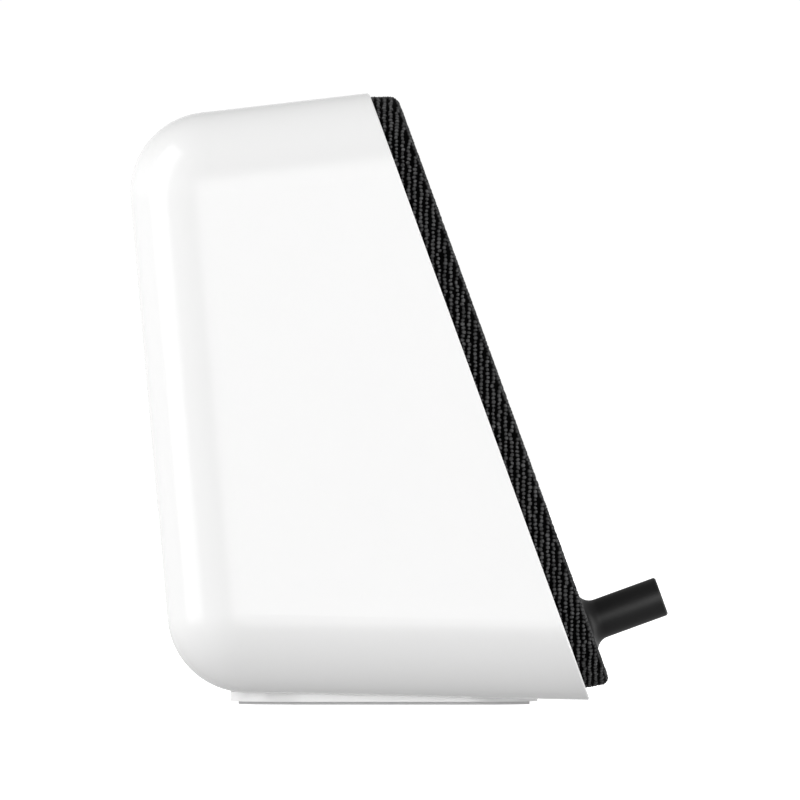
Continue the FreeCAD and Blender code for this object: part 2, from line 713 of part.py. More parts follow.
def encoder_bushing():
    tube = disc(BUSHING_RADIUS, BRACKET_BACK, BUSHING_END)
    plate = centred(ENCODER_SIDE, ENCODER_SIDE, BRACKET_BACK, BAFFLE_BACK)
    bore = disc(SHAFT_RADIUS + RUNNING, BRACKET_BACK - 1, BUSHING_END + 1)
    return on_knob_axis(tube.fuse(plate).cut(bore).removeSplitter())


def encoder_body():
    case = centred(ENCODER_SIDE, ENCODER_SIDE, ENCODER_BACK, BRACKET_BACK)
    cavity = disc(ROTOR_RADIUS + 0.2, ENCODER_BACK + 0.9, BRACKET_BACK - 0.6)
    throat = disc(SHAFT_RADIUS + 0.2, BRACKET_BACK - 1, BRACKET_BACK + 1)
    floor_hole = disc(TAIL_RADIUS + 0.2, ENCODER_BACK - 1, ENCODER_BACK + 1)
    return on_knob_axis(case.cut([cavity, throat, floor_hole]))


def push_switch():
    case = centred(ENCODER_SIDE, ENCODER_SIDE, SWITCH_BACK, ENCODER_BACK)
    return on_knob_axis(case.cut(disc(DOME_RADIUS + 0.4, SWITCH_BACK + DOME, ENCODER_BACK + 1)))


def switch_dome():
    low = SWITCH_BACK + DOME
    crown = low + DOME
    return on_knob_axis(turned([(0, low), (DOME_RADIUS, low), (DOME_RADIUS * 0.7, crown), (0, crown)]))


def encoder_board():
    low = SWITCH_BACK - BOARD
    return on_knob_axis(centred(22.0, 15.0, low, SWITCH_BACK))


def encoder_nut():
    low = BAFFLE_FRONT + WASHER
    corner = NUT_FLATS / math.sqrt(3)
    turns = [math.radians(60 * i) for i in range(7)]
    outline = Part.makePolygon([vec(corner * math.cos(t), corner * math.sin(t), low) for t in turns])
    nut = Part.Face(outline).extrude(vec(0, 0, NUT))
    return on_knob_axis(nut.cut(disc(BUSHING_RADIUS + RUNNING, low - 1, low + NUT + 1)))


def encoder_washer():
    inner = BUSHING_RADIUS + RUNNING
    return on_knob_axis(ring(WASHER_RADIUS, inner, BAFFLE_FRONT, BAFFLE_FRONT + WASHER))


# ---- woofer, all on the woofer's axis ----------------------------------------------------------------
def on_woofer_axis(shape):
    return placed(shape, 0, WOOFER_ROW, 0)


def woofer_basket():
    face, foot = WOOFER_FACE, BASKET_FOOT
    ledge = foot + 4.5
    lip = face - 1.3
    body = turned(
        [
            (FLANGE_RADIUS, face),
            (FLANGE_RADIUS, face - FLANGE),
            (FLANGE_RADIUS - 3.5, face - FLANGE),
            (STEEL_RADIUS, foot),
            (GAP_RADIUS + 0.3, foot),
            (GAP_RADIUS + 0.3, foot + 1.5),
            (22.0, foot + 1.5),
            (22.0, ledge),
            (28.2, ledge),
            (35.4, face - FLANGE - 1.4),
            (35.4, lip),
            (37.2, lip),
            (37.2, face),
        ]
    )
    reach = LUG_CIRCLE * math.sqrt(0.5)
    lugs = [(x, y) for x in (-reach, reach) for y in (-reach, reach)]
    body = body.fuse([disc(LUG_RADIUS, FLANGE_BACK, face, x, y) for x, y in lugs])
    body = body.cut(disc(37.2, lip, face + 1)).cut(disc(35.4, FLANGE_BACK, lip))
    cuts = [disc(SCREW_HOLE, FLANGE_BACK - 1, face + 1, x, y) for x, y in lugs]
    for i in range(6):
        window = box((24.0, FLANGE_RADIUS), (-8.0, 8.0), (ledge + 1.5, FLANGE_BACK - 2.0))
        window.rotate(vec(0, 0, 0), vec(0, 0, 1), 60 * i)
        cuts.append(window)
    return on_woofer_axis(body.cut(cuts).removeSplitter())


def woofer_gasket():
    return on_woofer_axis(ring(FLANGE_RADIUS, WOOFER_OPENING, WOOFER_FACE, BAFFLE_BACK))


def woofer_screws():
    return group(placed(screw(6.0), x, y, FLANGE_BACK, True) for x, y in woofer_screw_places())


def woofer_top_plate():
    return on_woofer_axis(ring(STEEL_RADIUS, GAP_RADIUS, BASKET_FOOT - STEEL, BASKET_FOOT))


def woofer_magnet():
    high = BASKET_FOOT - STEEL
    return on_woofer_axis(ring(MAGNET_RADIUS, GAP_RADIUS + 1.9, high - MAGNET, high))


def woofer_pole_yoke():
    high = BASKET_FOOT - STEEL - MAGNET
    plate = disc(STEEL_RADIUS, high - STEEL, high)
    return on_woofer_axis(plate.fuse(disc(POLE_RADIUS, high, BASKET_FOOT + 0.3)).removeSplitter())


def voice_coil_former():
    return on_woofer_axis(ring(COIL_RADIUS, COIL_RADIUS - FORMER_WALL, BASKET_FOOT - 7.8, WOOFER_FACE - 10.8))


def voice_coil_winding():
    inner = COIL_RADIUS + 0.02
    return on_woofer_axis(ring(inner + WINDING, inner, BASKET_FOOT - 6.8, BASKET_FOOT + 1.7))


def cone_levels():
    """Level of the cone's neck and of its outer lip."""
    lip = WOOFER_FACE - 1.35
    return lip - 11.45, lip


def woofer_cone():
    neck, lip = cone_levels()
    inner = COIL_RADIUS + RUNNING
    return on_woofer_axis(
        turned(
            [
                (inner, neck),
                (inner, neck - SOFT_SHEET),
                (inner + 0.5, neck - SOFT_SHEET),
                (CONE_RADIUS - 1.6, lip - SOFT_SHEET),
                (CONE_RADIUS, lip - SOFT_SHEET),
                (CONE_RADIUS, lip),
                (CONE_RADIUS - 1.8, lip),
            ]
        )
    )


def woofer_dust_cap():
    neck, _ = cone_levels()
    base = COIL_RADIUS + 1.3
    sphere = 18.0
    centre = neck + 1.2 - math.sqrt(sphere**2 - base**2)
    cap = Part.makeSphere(sphere, vec(0, 0, centre)).cut(Part.makeSphere(sphere - 0.4, vec(0, 0, centre)))
    return on_woofer_axis(cap.common(disc(base, neck + 1.2, FAR)))


def woofer_surround():
    _, lip = cone_levels()
    low, high = lip + 0.05, lip + 0.05 + SOFT_SHEET
    inner_lip, outer_lip = CONE_RADIUS - 1.6, 37.1
    start, end = CONE_RADIUS, CONE_RADIUS + 2 * SURROUND_ROLL
    middle = (start + end) / 2
    thin = SURROUND_ROLL - SOFT_SHEET
    edges = [
        line((inner_lip, low), (start + SOFT_SHEET, low)),
        arc((start + SOFT_SHEET, low), (middle, low + thin), (end - SOFT_SHEET, low)),
        line((end - SOFT_SHEET, low), (outer_lip, low)),
        line((outer_lip, low), (outer_lip, high)),
        line((outer_lip, high), (end, high)),
        arc((end, high), (middle, high + SURROUND_ROLL), (start, high)),
        line((start, high), (inner_lip, high)),
        line((inner_lip, high), (inner_lip, low)),
    ]
    return on_woofer_axis(turned_wire(edges))


def woofer_spider():
    ledge = BASKET_FOOT + 4.5
    inner, outer, waves = COIL_RADIUS + 0.2, 27.5, 4
    flat = 23.5
    steps = waves * 2
    upper = []
    for i in range(steps + 1):
        radius = inner + (flat - inner) * i / steps
        upper.append((radius, ledge + 0.9 * (i % 2)))
    upper.append((outer, ledge))
    profile = upper + [(radius, level + SOFT_SHEET) for radius, level in reversed(upper)]
    return on_woofer_axis(turned(profile))


# ---- tweeter -----------------------------------------------------------------------------------------
def on_tweeter_axis(shape):
    return placed(shape, 0, TWEETER_ROW, 0)


def tweeter_faceplate():
    plate = ring(TWEETER_FLANGE, TWEETER_DOME + 0.4, BAFFLE_BACK - TWEETER_PLATE, BAFFLE_BACK)
    holes = [disc(1.1, -FAR, FAR, x, y - TWEETER_ROW) for x, y in tweeter_screw_places()]
    return on_tweeter_axis(plate.cut(holes))


def tweeter_motor():
    high = BAFFLE_BACK - TWEETER_PLATE
    cup = disc(TWEETER_CUP, high - TWEETER_DEPTH, high)
    return on_tweeter_axis(cup.cut(ring(TWEETER_DOME + 0.3, TWEETER_DOME - 1.2, high - 6.0, high + 1)))


def tweeter_dome():
    sphere = 14.0
    base_level = BAFFLE_BACK - TWEETER_PLATE + 0.05
    centre = base_level - math.sqrt(sphere**2 - TWEETER_DOME**2)
    cap = Part.makeSphere(sphere, vec(0, 0, centre)).cut(Part.makeSphere(sphere - 0.3, vec(0, 0, centre)))
    return on_tweeter_axis(cap.common(disc(TWEETER_DOME, base_level, FAR)))


def tweeter_screws():
    small = screw(4.0, 0.9, 1.8, 1.2)
    seat = BAFFLE_BACK - TWEETER_PLATE
    return group(placed(small, x, y, seat, True) for x, y in tweeter_screw_places())


# ---- microphones and lights --------------------------------------------------------------------------
def microphone_boots():
    low = BAFFLE_BACK - MIC_BOOT
    return group(ring(3.2, MIC_PORT, low, BAFFLE_BACK, x, MIC_ROW) for x in (-MIC_X, MIC_X))


def microphone_boards():
    high = BAFFLE_BACK - MIC_BOOT
    boards = []
    for x in (-MIC_X, MIC_X):
        board = centred(18.0, 9.0, high - BOARD, high, x, MIC_ROW)
        boards.append(board.cut(disc(0.5, -FAR, FAR, x, MIC_ROW)))
    return group(boards)


def microphones():
    high = BAFFLE_BACK - MIC_BOOT - BOARD
    return group(centred(3.5, 2.65, high - 1.0, high, x, MIC_ROW) for x in (-MIC_X, MIC_X))


def pipe_end():
    return BAFFLE_BACK - 1.2


def light_pipes():
    rods = []
    for x in light_places():
        rod = disc(PIPE_RADIUS, BAFFLE_BACK, BAFFLE_FRONT + 0.3, x, LIGHT_ROW)
        foot = disc(PIPE_RADIUS + 1.0, pipe_end(), BAFFLE_BACK, x, LIGHT_ROW)
        rods.append(rod.fuse(foot).removeSplitter())
    return group(rods)


def light_leds():
    high = pipe_end() - LED_GAP
    return group(centred(3.0, 3.0, high - 0.9, high, x, LIGHT_ROW) for x in light_places())


def light_board():
    high = pipe_end() - LED_GAP - 0.9
    strip = centred(60.0, 6.5, high - BOARD, high, 0, LIGHT_ROW)
    posts = [disc(1.6, high, BAFFLE_BACK, x, LIGHT_ROW) for x in (-26.0, 26.0)]
    return strip.fuse(posts).removeSplitter()


# ---- main board --------------------------------------------------------------------------------------
def main_board():
    middle = (MAIN_FOOT + MAIN_HEAD) / 2
    board = centred(MAIN_WIDTH, MAIN_HEAD - MAIN_FOOT, BOARD_INSIDE - MAIN_BOARD, BOARD_INSIDE, 0, middle)
    return board.cut([disc(SCREW_HOLE, -FAR, FAR, x, y) for x, y in main_screw_places()])


def board_screws():
    seat = BOARD_INSIDE - MAIN_BOARD
    return group(placed(screw(9.0), x, y, seat, True) for x, y in main_screw_places())


def on_board(width, height, tall, x, y):
    """A box that stands on the board's inner face."""
    face = BOARD_INSIDE - MAIN_BOARD
    return centred(width, height, face - tall, face, x, y)


def shield_can():
    return on_board(34.0, 34.0, 2.2, -16.0, 72.0)


def thermal_pad():
    face = BOARD_INSIDE - MAIN_BOARD - 2.2
    return centred(28.0, 28.0, face - 1.0, face, -16.0, 72.0)


def heat_spreader():
    face = BOARD_INSIDE - MAIN_BOARD - 2.2 - 1.0
    plate = centred(58.0, 40.0, face - 1.5, face, -10.0, 72.0)
    legs = [centred(6.0, 3.0, face, BOARD_INSIDE - MAIN_BOARD, 14.0, y) for y in (56.0, 88.0)]
    return plate.fuse(legs).removeSplitter()


def board_chips():
    places = [(9.0, 9.0, 1.1, 30.0, 46.0), (7.0, 7.0, 1.0, 30.0, 58.0), (10.0, 8.0, 1.2, -34.0, 44.0)]
    places += [(6.0, 5.0, 1.0, -14.0, 42.0), (5.0, 3.2, 0.9, 10.0, 40.0)]
    return group(on_board(*place) for place in places)


def board_coils():
    return group(on_board(7.0, 7.0, 4.0, x, y) for x, y in ((40.0, 46.0), (40.0, 56.0), (-44.0, 60.0)))


def board_capacitors():
    face = BOARD_INSIDE - MAIN_BOARD
    places = [(26.0, 34.0), (36.0, 34.0), (-26.0, 32.0)]
    return group(disc(4.0, face - 9.0, face, x, y) for x, y in places)


def connector_places():
    """Name, x and y of each socket on the board's inner face."""
    return {
        "woofer": (38.0, 76.0),
        "tweeter": (32.0, 100.0),
        "encoder": (-6.0, 27.0),
        "light": (13.0, 30.0),
        "mic_left": (46.0, 88.0),
        "mic_right": (-46.0, 88.0),
    }


def board_connectors():
    return group(on_board(10.0, 4.5, 4.0, x, y) for x, y in connector_places().values())


# ---- power socket ------------------------------------------------------------------------------------
def jack_body():
    face = -SOCKET_DEPTH - JACK_GAP
    body = centred(JACK_WIDTH, JACK_HEIGHT, BOARD_INSIDE, face, 0, SOCKET_ROW)
    return body.cut(disc(JACK_BORE, BOARD_INSIDE + 1.5, face + 1, 0, SOCKET_ROW))


def jack_pin():
    face = -SOCKET_DEPTH - JACK_GAP
    return disc(JACK_PIN, BOARD_INSIDE + 1.5, face - 0.8, 0, SOCKET_ROW)


# ---- antennas, wiring and wadding --------------------------------------------------------------------
def antenna_places():
    return [(-32.0, 20.0), (32.0, 20.0)]


def wifi_antennas():
    return group(
        centred(ANTENNA_LENGTH, ANTENNA_WIDTH, -WALL - ANTENNA, -WALL, x, y) for x, y in antenna_places()
    )


def acoustic_wadding():
    outer = block(WALL + BAFFLE_GAP)
    inner = block(WALL + BAFFLE_GAP + WADDING)
    pads = outer.cut(inner)
    reach = RIM_WIDTH
    left = box((-reach, -RIM_WIDTH * 0.38), (45.0, 120.0), (-58.0, -18.5))
    right = box((RIM_WIDTH * 0.38, reach), (45.0, 120.0), (-58.0, -18.5))
    return group([pads.common(left), pads.common(right)])


def board_point(name, out):
    """World point at a connector, out millimetres clear of the board's inner face."""
    x, y = connector_places()[name]
    return world_of(BACK, x, y, BOARD_INSIDE - MAIN_BOARD - out)


def woofer_lead():
    start = world_of(FRONT, -29.2, WOOFER_ROW, BASKET_FOOT + 3.0)
    out = world_of(FRONT, -44.0, WOOFER_ROW, BASKET_FOOT - 2.0)
    end = board_point("woofer", 4.0)
    near = board_point("woofer", 9.0)
    return lead([start, out, near, end], LEAD_RADIUS)


def tweeter_lead():
    back = BAFFLE_BACK - TWEETER_PLATE - TWEETER_DEPTH
    start = world_of(FRONT, -6.0, TWEETER_ROW, back)
    out = world_of(FRONT, -6.0, TWEETER_ROW, back - 6.0)
    end = board_point("tweeter", 4.0)
    near = board_point("tweeter", 10.0)
    return lead([start, out, near, end], LEAD_RADIUS)


def antenna_leads():
    leads = []
    for side in (-1, 1):
        start = world_of(TOP, side * 32.0, 20.0, -WALL - ANTENNA - COAX_RADIUS)
        out = world_of(TOP, side * 32.0, 28.0, -WALL - ANTENNA - 3.0)
        near = world_of(BACK, -side * 20.0, MAIN_HEAD - 4.0, BOARD_INSIDE - MAIN_BOARD - 6.0)
        end = world_of(BACK, -side * 20.0, MAIN_HEAD - 4.0, BOARD_INSIDE - MAIN_BOARD)
        leads.append(lead([start, out, near, end], COAX_RADIUS))
    return group(leads)


def yz(point):
    return (point.y, point.z)


def encoder_ribbon():
    """From the encoder's board to the main board."""
    x, _ = connector_places()["encoder"]
    start = world_of(FRONT, 0, KNOB_ROW, SWITCH_BACK - BOARD)
    out = world_of(FRONT, 0, KNOB_ROW, SWITCH_BACK - BOARD - 6.0)
    near = board_point("encoder", 12.0)
    end = board_point("encoder", 4.0)
    return ribbon([yz(start), yz(out), yz(near), yz(end)], -x)


def light_ribbon():
    x, _ = connector_places()["light"]
    back = pipe_end() - LED_GAP - 0.9 - BOARD
    start = world_of(FRONT, 0, LIGHT_ROW, back)
    out = world_of(FRONT, 0, LIGHT_ROW, back - 8.0)
    near = board_point("light", 10.0)
    end = board_point("light", 4.0)
    return ribbon([yz(start), yz(out), yz(near), yz(end)], -x, 6.0)


def microphone_ribbons():
    strips = []
    for name, side in (("mic_left", -1), ("mic_right", 1)):
        back = BAFFLE_BACK - MIC_BOOT - BOARD
        start = world_of(FRONT, side * MIC_X, MIC_ROW - 3.0, back)
        out = world_of(FRONT, side * MIC_X, MIC_ROW - 3.0, back - 5.0)
        near = board_point(name, 9.0)
        end = board_point(name, 4.0)
        strips.append(ribbon([yz(start), yz(out), yz(near), yz(end)], side * 48.5, 4.0))
    return strips


def ribbon_cables():
    return group([encoder_ribbon(), light_ribbon()] + microphone_ribbons())


def speaker_leads():
    return group([woofer_lead(), tweeter_lead()])


WORLD_PARTS = {
    "cabinet_shell": cabinet_shell,
    "base_plinth": base_plinth,
    "plinth_screws": plinth_screws,
    "foot_rubber": foot_rubber,
    "speaker_leads": speaker_leads,
    "antenna_leads": antenna_leads,
    "ribbon_cables": ribbon_cables,
}
FRONT_PARTS = {
    "front_baffle": front_baffle,
    "baffle_gasket": baffle_gasket,
    "baffle_screws": baffle_screws,
    "grille_grommets": grille_grommets,
    "grille_cloth": grille_cloth,
    "grille_frame": grille_frame,
    "knob_cap": knob_cap,
    "knob_core": knob_core,
    "encoder_shaft": encoder_shaft,
    "encoder_rotor": encoder_rotor,
    "encoder_bushing": encoder_bushing,
    "encoder_body": encoder_body,
    "encoder_nut": encoder_nut,
    "encoder_washer": encoder_washer,
    "encoder_board": encoder_board,
    "push_switch": push_switch,
    "switch_dome": switch_dome,
    "woofer_basket": woofer_basket,
    "woofer_gasket": woofer_gasket,
    "woofer_screws": woofer_screws,
    "woofer_top_plate": woofer_top_plate,
    "woofer_magnet": woofer_magnet,
    "woofer_pole_yoke": woofer_pole_yoke,
    "voice_coil_former": voice_coil_former,
    "voice_coil_winding": voice_coil_winding,
    "woofer_cone": woofer_cone,
    "woofer_dust_cap": woofer_dust_cap,
    "woofer_surround": woofer_surround,
    "woofer_spider": woofer_spider,
    "tweeter_faceplate": tweeter_faceplate,
    "tweeter_motor": tweeter_motor,
    "tweeter_dome": tweeter_dome,
    "tweeter_screws": tweeter_screws,
    "microphone_boots": microphone_boots,
    "microphone_boards": microphone_boards,
    "microphones": microphones,
    "light_pipes": light_pipes,
    "light_leds": light_leds,
    "light_board": light_board,
    "acoustic_wadding": acoustic_wadding,
}
BACK_PARTS = {
    "main_board": main_board,
    "board_screws": board_screws,
    "shield_can": shield_can,
    "thermal_pad": thermal_pad,
    "heat_spreader": heat_spreader,
    "board_chips": board_chips,
    "board_coils": board_coils,
    "board_capacitors": board_capacitors,
    "board_connectors": board_connectors,
    "jack_body": jack_body,
    "jack_pin": jack_pin,
}
TOP_PARTS = {"wifi_antennas": wifi_antennas}


def main():
    os.makedirs("parts", exist_ok=True)
    frames = (
        (FreeCAD.Placement(), WORLD_PARTS),
        (FRONT, FRONT_PARTS),
        (BACK, BACK_PARTS),
        (TOP, TOP_PARTS),
    )
    for place, makers in frames:
        for name, make in makers.items():
            shape = in_frame(place, make())
            shape.exportStep(os.path.join("parts", name + ".step"))
            volume = shape.Volume / 1000
            print(f"{name}: {len(shape.Solids)} solids, {volume:.2f} cm3, valid {shape.isValid()}")


main()
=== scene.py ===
"""Looks for a wedge-shaped table-top smart speaker.

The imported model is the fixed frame. Its hard pieces keep their shape and get the finishes below. The
grille's cloth is a stretched sheet with a knitted face of raised stitches, and the wadding is padded felt.
Lengths are metres unless a name says otherwise.
"""

import json
import logging
import math
import random
from dataclasses import dataclass
from enum import Enum
from typing import Iterator

import bmesh
import bpy
from mathutils import Matrix, Vector


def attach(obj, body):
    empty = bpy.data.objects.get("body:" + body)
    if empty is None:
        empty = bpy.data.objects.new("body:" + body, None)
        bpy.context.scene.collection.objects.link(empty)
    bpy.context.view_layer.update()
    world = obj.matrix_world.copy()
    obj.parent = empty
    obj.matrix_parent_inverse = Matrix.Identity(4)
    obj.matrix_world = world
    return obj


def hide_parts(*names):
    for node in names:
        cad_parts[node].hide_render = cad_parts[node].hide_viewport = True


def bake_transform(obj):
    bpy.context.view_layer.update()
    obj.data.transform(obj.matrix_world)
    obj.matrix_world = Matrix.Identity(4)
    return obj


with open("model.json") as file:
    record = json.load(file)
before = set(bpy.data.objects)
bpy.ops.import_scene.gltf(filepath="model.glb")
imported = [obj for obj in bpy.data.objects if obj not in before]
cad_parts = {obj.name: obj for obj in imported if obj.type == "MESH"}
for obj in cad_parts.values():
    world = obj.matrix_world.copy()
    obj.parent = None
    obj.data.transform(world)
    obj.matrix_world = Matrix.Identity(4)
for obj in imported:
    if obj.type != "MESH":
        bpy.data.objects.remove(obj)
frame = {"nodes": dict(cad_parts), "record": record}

log = logging.getLogger("speaker")

MM = 0.001
FRONT_LEAN = math.radians(20.0)  # how far the cabinet's mouth leans back from upright
NUDGE = 0.05 * MM  # step between neighbouring points where a direction is worked out
STITCH_SHADE_MASK = "crown"  # the attribute that says how near a point is to its stitch's crown, which masks the yarn's painted shade
NOISE_LOW = 0.3  # nearly all of a noise texture's values lie between these two
NOISE_HIGH = 0.7

Tone = tuple[float, float, float]  # a colour's red, green and blue
Triple = tuple[float, float, float]  # any other three numbers
Span = tuple[float, float]  # the least and the most, or a place and its value
Spot = tuple[Vector, Vector, Vector]  # a stitch's place, outward direction and column direction


class Grain(Enum):
    """Directions in which a finish may be drawn out, as scale factors of its texture."""

    EVEN = (1.0, 1.0, 1.0)
    ALONG_X = (0.04, 1.0, 1.0)
    ALONG_Y = (1.0, 0.04, 1.0)
    ALONG_Z = (1.0, 1.0, 0.04)


class Swatch:
    """A node material in the making: one shader fed by textures on Object coordinates."""

    def __init__(self, name: str) -> None:
        """Starts an empty material.

        Args:
            name: the material's name.
        """
        self.material = bpy.data.materials.new(name)
        self.material.use_nodes = True
        self.tree = self.material.node_tree
        self.shader = self.tree.nodes["Principled BSDF"]
        self.place = self.add("ShaderNodeTexCoord").outputs["Object"]

    def add(self, kind: str, **inputs: object) -> bpy.types.Node:
        """Adds a node.

        Args:
            kind: the node's type name.
            inputs: values for its inputs, with underscores for the spaces in their names.

        Returns:
            The new node.
        """
        node = self.tree.nodes.new(kind)
        for name, value in inputs.items():
            node.inputs[name.replace("_", " ")].default_value = value
        return node

    def join(self, source: bpy.types.NodeSocket, target: bpy.types.NodeSocket) -> None:
        """Links two sockets."""
        self.tree.links.new(source, target)

    def fix(self, **inputs: object) -> "Swatch":
        """Sets uniform values on the shader's own sockets.

        Args:
            inputs: the values, with underscores for the spaces in the sockets' names.

        Returns:
            This swatch.
        """
        for name, value in inputs.items():
            self.shader.inputs[name.replace("_", " ")].default_value = value
        return self

    def stretched(self, grain: Grain) -> bpy.types.NodeSocket:
        """Object coordinates drawn out along one direction.

        Args:
            grain: the direction.

        Returns:
            The socket that gives them.
        """
        if grain is Grain.EVEN:
            return self.place
        mapping = self.add("ShaderNodeMapping", Scale=grain.value)
        self.join(self.place, mapping.inputs["Vector"])
        return mapping.outputs["Vector"]

    def noise(self, size: float, detail: float = 3.0, grain: Grain = Grain.EVEN) -> bpy.types.NodeSocket:
        """Soft noise.

        Args:
            size: the width of its features.
            detail: how many finer layers it has.
            grain: the direction in which it is drawn out.

        Returns:
            The socket of its value.
        """
        node = self.add("ShaderNodeTexNoise", Scale=1.0 / size, Detail=detail, Roughness=0.55)
        self.join(self.stretched(grain), node.inputs["Vector"])
        return node.outputs["Fac"]

    def cells(self, size: float) -> bpy.types.NodeSocket:
        """Distance to the middle of each of many small cells.

        Args:
            size: the width of a cell.

        Returns:
            The socket of its value.
        """
        node = self.add("ShaderNodeTexVoronoi", Scale=1.0 / size)
        self.join(self.place, node.inputs["Vector"])
        return node.outputs["Distance"]

    def between(self, value: bpy.types.NodeSocket, low: float, high: float) -> bpy.types.NodeSocket:
        """A texture's middle values spread over a range.

        Args:
            value: the texture.
            low: the result where the texture is at NOISE_LOW or less.
            high: the result where it is at NOISE_HIGH or more.

        Returns:
            The socket of the result.
        """
        node = self.add(
            "ShaderNodeMapRange", From_Min=NOISE_LOW, From_Max=NOISE_HIGH, To_Min=low, To_Max=high
        )
        self.join(value, node.inputs["Value"])
        return node.outputs["Result"]

    def colour(self, value: bpy.types.NodeSocket, dark: Tone, light: Tone) -> "Swatch":
        """Colours the surface between two tones.

        Args:
            value: the texture that chooses between them.
            dark: the first tone, three numbers.
            light: the second tone.

        Returns:
            This swatch.
        """
        ramp = self.add("ShaderNodeValToRGB")
        stops = ((NOISE_LOW, dark), (NOISE_HIGH, light))
        for element, (position, tone) in zip(ramp.color_ramp.elements, stops):
            element.position = position
            element.color = (*tone, 1.0)
        self.join(value, ramp.inputs["Fac"])
        self.join(ramp.outputs["Color"], self.shader.inputs["Base Color"])
        return self

    def roughness(self, value: bpy.types.NodeSocket, low: float, high: float) -> "Swatch":
        """Varies the gloss between two roughnesses."""
        self.join(self.between(value, low, high), self.shader.inputs["Roughness"])
        return self

    def relief(self, value: bpy.types.NodeSocket, depth: float, strength: float = 1.0) -> "Swatch":
        """Raises the surface by a texture.

        Args:
            value: the texture.
            depth: how high its full value stands.
            strength: how much of the effect is kept.

        Returns:
            This swatch.
        """
        bump = self.add("ShaderNodeBump", Strength=strength, Distance=depth)
        self.join(value, bump.inputs["Height"])
        self.join(bump.outputs["Normal"], self.shader.inputs["Normal"])
        return self


def shade(colour: Tone, factor: float) -> Tone:
    """A tone made lighter or darker, kept within what a surface can reflect."""
    return tuple(min(0.95, channel * factor) for channel in colour)


@dataclass(frozen=True)
class Moulding:
    """Moulded plastic or rubber: a faint mottle, a fine texture from the tool, and uneven gloss."""

    name: str
    colour: Tone
    gloss: float
    texture: float = 0.35 * MM
    depth: float = 0.01 * MM
    mottle: float = 0.08
    shine: float = 0.5
    patch: float = 14 * MM
    unevenness: float = 0.12

    def make(self) -> bpy.types.Material:
        """Makes the material.

        Returns:
            The material.
        """
        swatch = Swatch(self.name).fix(Specular_IOR_Level=self.shine)
        broad = swatch.noise(self.patch)
        fine = swatch.noise(self.texture, 2.0)
        swatch.colour(broad, shade(self.colour, 1 - self.mottle), shade(self.colour, 1 + self.mottle))
        swatch.roughness(broad, self.gloss * (1 - self.unevenness), self.gloss * (1 + self.unevenness))
        return swatch.relief(fine, self.depth).material


@dataclass(frozen=True)
class Lacquer:
    """Polished white plastic: a clear gloss over a slightly waved surface."""

    name: str
    colour: Tone
    gloss: float
    patch: float = 40 * MM
    haze: float = 6 * MM
    wave: float = 9 * MM
    wave_depth: float = 0.012 * MM

    def make(self) -> bpy.types.Material:
        """Makes the material.

        Returns:
            The material.
        """
        swatch = Swatch(self.name)
        swatch.colour(swatch.noise(self.patch, 2.0), shade(self.colour, 0.994), self.colour)
        swatch.roughness(swatch.noise(self.haze), self.gloss * 0.85, self.gloss * 1.15)
        return swatch.relief(swatch.noise(self.wave, 1.0), self.wave_depth).fix(IOR=1.5).material


@dataclass(frozen=True)
class Metal:
    """Worked metal: fine tool lines along one direction and a patchy sheen."""

    name: str
    colour: Tone
    gloss: float
    grain: Grain = Grain.ALONG_X
    line: float = 0.25 * MM
    line_depth: float = 0.006 * MM
    patch: float = 5 * MM

    def make(self) -> bpy.types.Material:
        """Makes the material.

        Returns:
            The material.
        """
        swatch = Swatch(self.name).fix(Metallic=1.0)
        lines = swatch.noise(self.line, 4.0, self.grain)
        swatch.colour(lines, shade(self.colour, 0.88), shade(self.colour, 1.06))
        swatch.roughness(swatch.noise(self.patch), self.gloss * 0.8, self.gloss * 1.25)
        return swatch.relief(lines, self.line_depth, 0.6).material


@dataclass(frozen=True)
class Yarn:
    """Spun black yarn: matt, with loose fibres that catch the light, and painted shade towards the foot of
    each stitch.
    """

    name: str
    # dark: the painted shade tone, for each stitch's foot and for the backing between stitches
    dark: Tone
    light: Tone
    fibre: float = 0.12 * MM
    fibre_depth: float = 0.05 * MM
    patch: float = 1.6 * MM
    patch_shade: float = 0.35

    def make(self) -> bpy.types.Material:
        """Makes the material, with painted shade that darkens each stitch from its crown down to its foot.

        Returns:
            The material.
        """
        swatch = Swatch(self.name)
        fibre = swatch.noise(self.fibre, 3.0, Grain.ALONG_Z)
        swatch.colour(swatch.noise(self.patch, 1.0), shade(self.light, self.patch_shade), self.light)
        # painted shade: the yarn's tone fades to the dark tone towards each stitch's foot; pieces without
        # the attribute, such as the backing, read 0 and are painted the dark tone all over
        crown = swatch.add("ShaderNodeAttribute")
        crown.attribute_name = STITCH_SHADE_MASK
        mix = swatch.add("ShaderNodeMix")
        mix.data_type = "RGBA"
        blend = {socket.name: socket for socket in mix.inputs if socket.type == "RGBA"}
        tone = swatch.shader.inputs["Base Color"].links[0].from_socket
        blend["A"].default_value = (*self.dark, 1.0)
        swatch.join(crown.outputs["Fac"], mix.inputs["Factor"])
        swatch.join(tone, blend["B"])
        mixed = next(socket for socket in mix.outputs if socket.type == "RGBA")
        swatch.join(mixed, swatch.shader.inputs["Base Color"])
        swatch.roughness(fibre, 0.75, 0.95)
        swatch.relief(fibre, self.fibre_depth, 0.8)
        return swatch.fix(Specular_IOR_Level=0.03).material


@dataclass(frozen=True)
class Fibre:
    """Pressed or felted fibre, such as paper, felt or stiffened cloth."""

    name: str
    colour: Tone
    strand: float
    depth: float
    grain: Grain = Grain.EVEN

    def make(self) -> bpy.types.Material:
        """Makes the material.

        Returns:
            The material.
        """
        swatch = Swatch(self.name)
        strands = swatch.noise(self.strand, 5.0, self.grain)
        swatch.colour(strands, shade(self.colour, 0.7), shade(self.colour, 1.25))
        swatch.roughness(strands, 0.8, 0.98)
        return swatch.relief(strands, self.depth).fix(Specular_IOR_Level=0.25).material


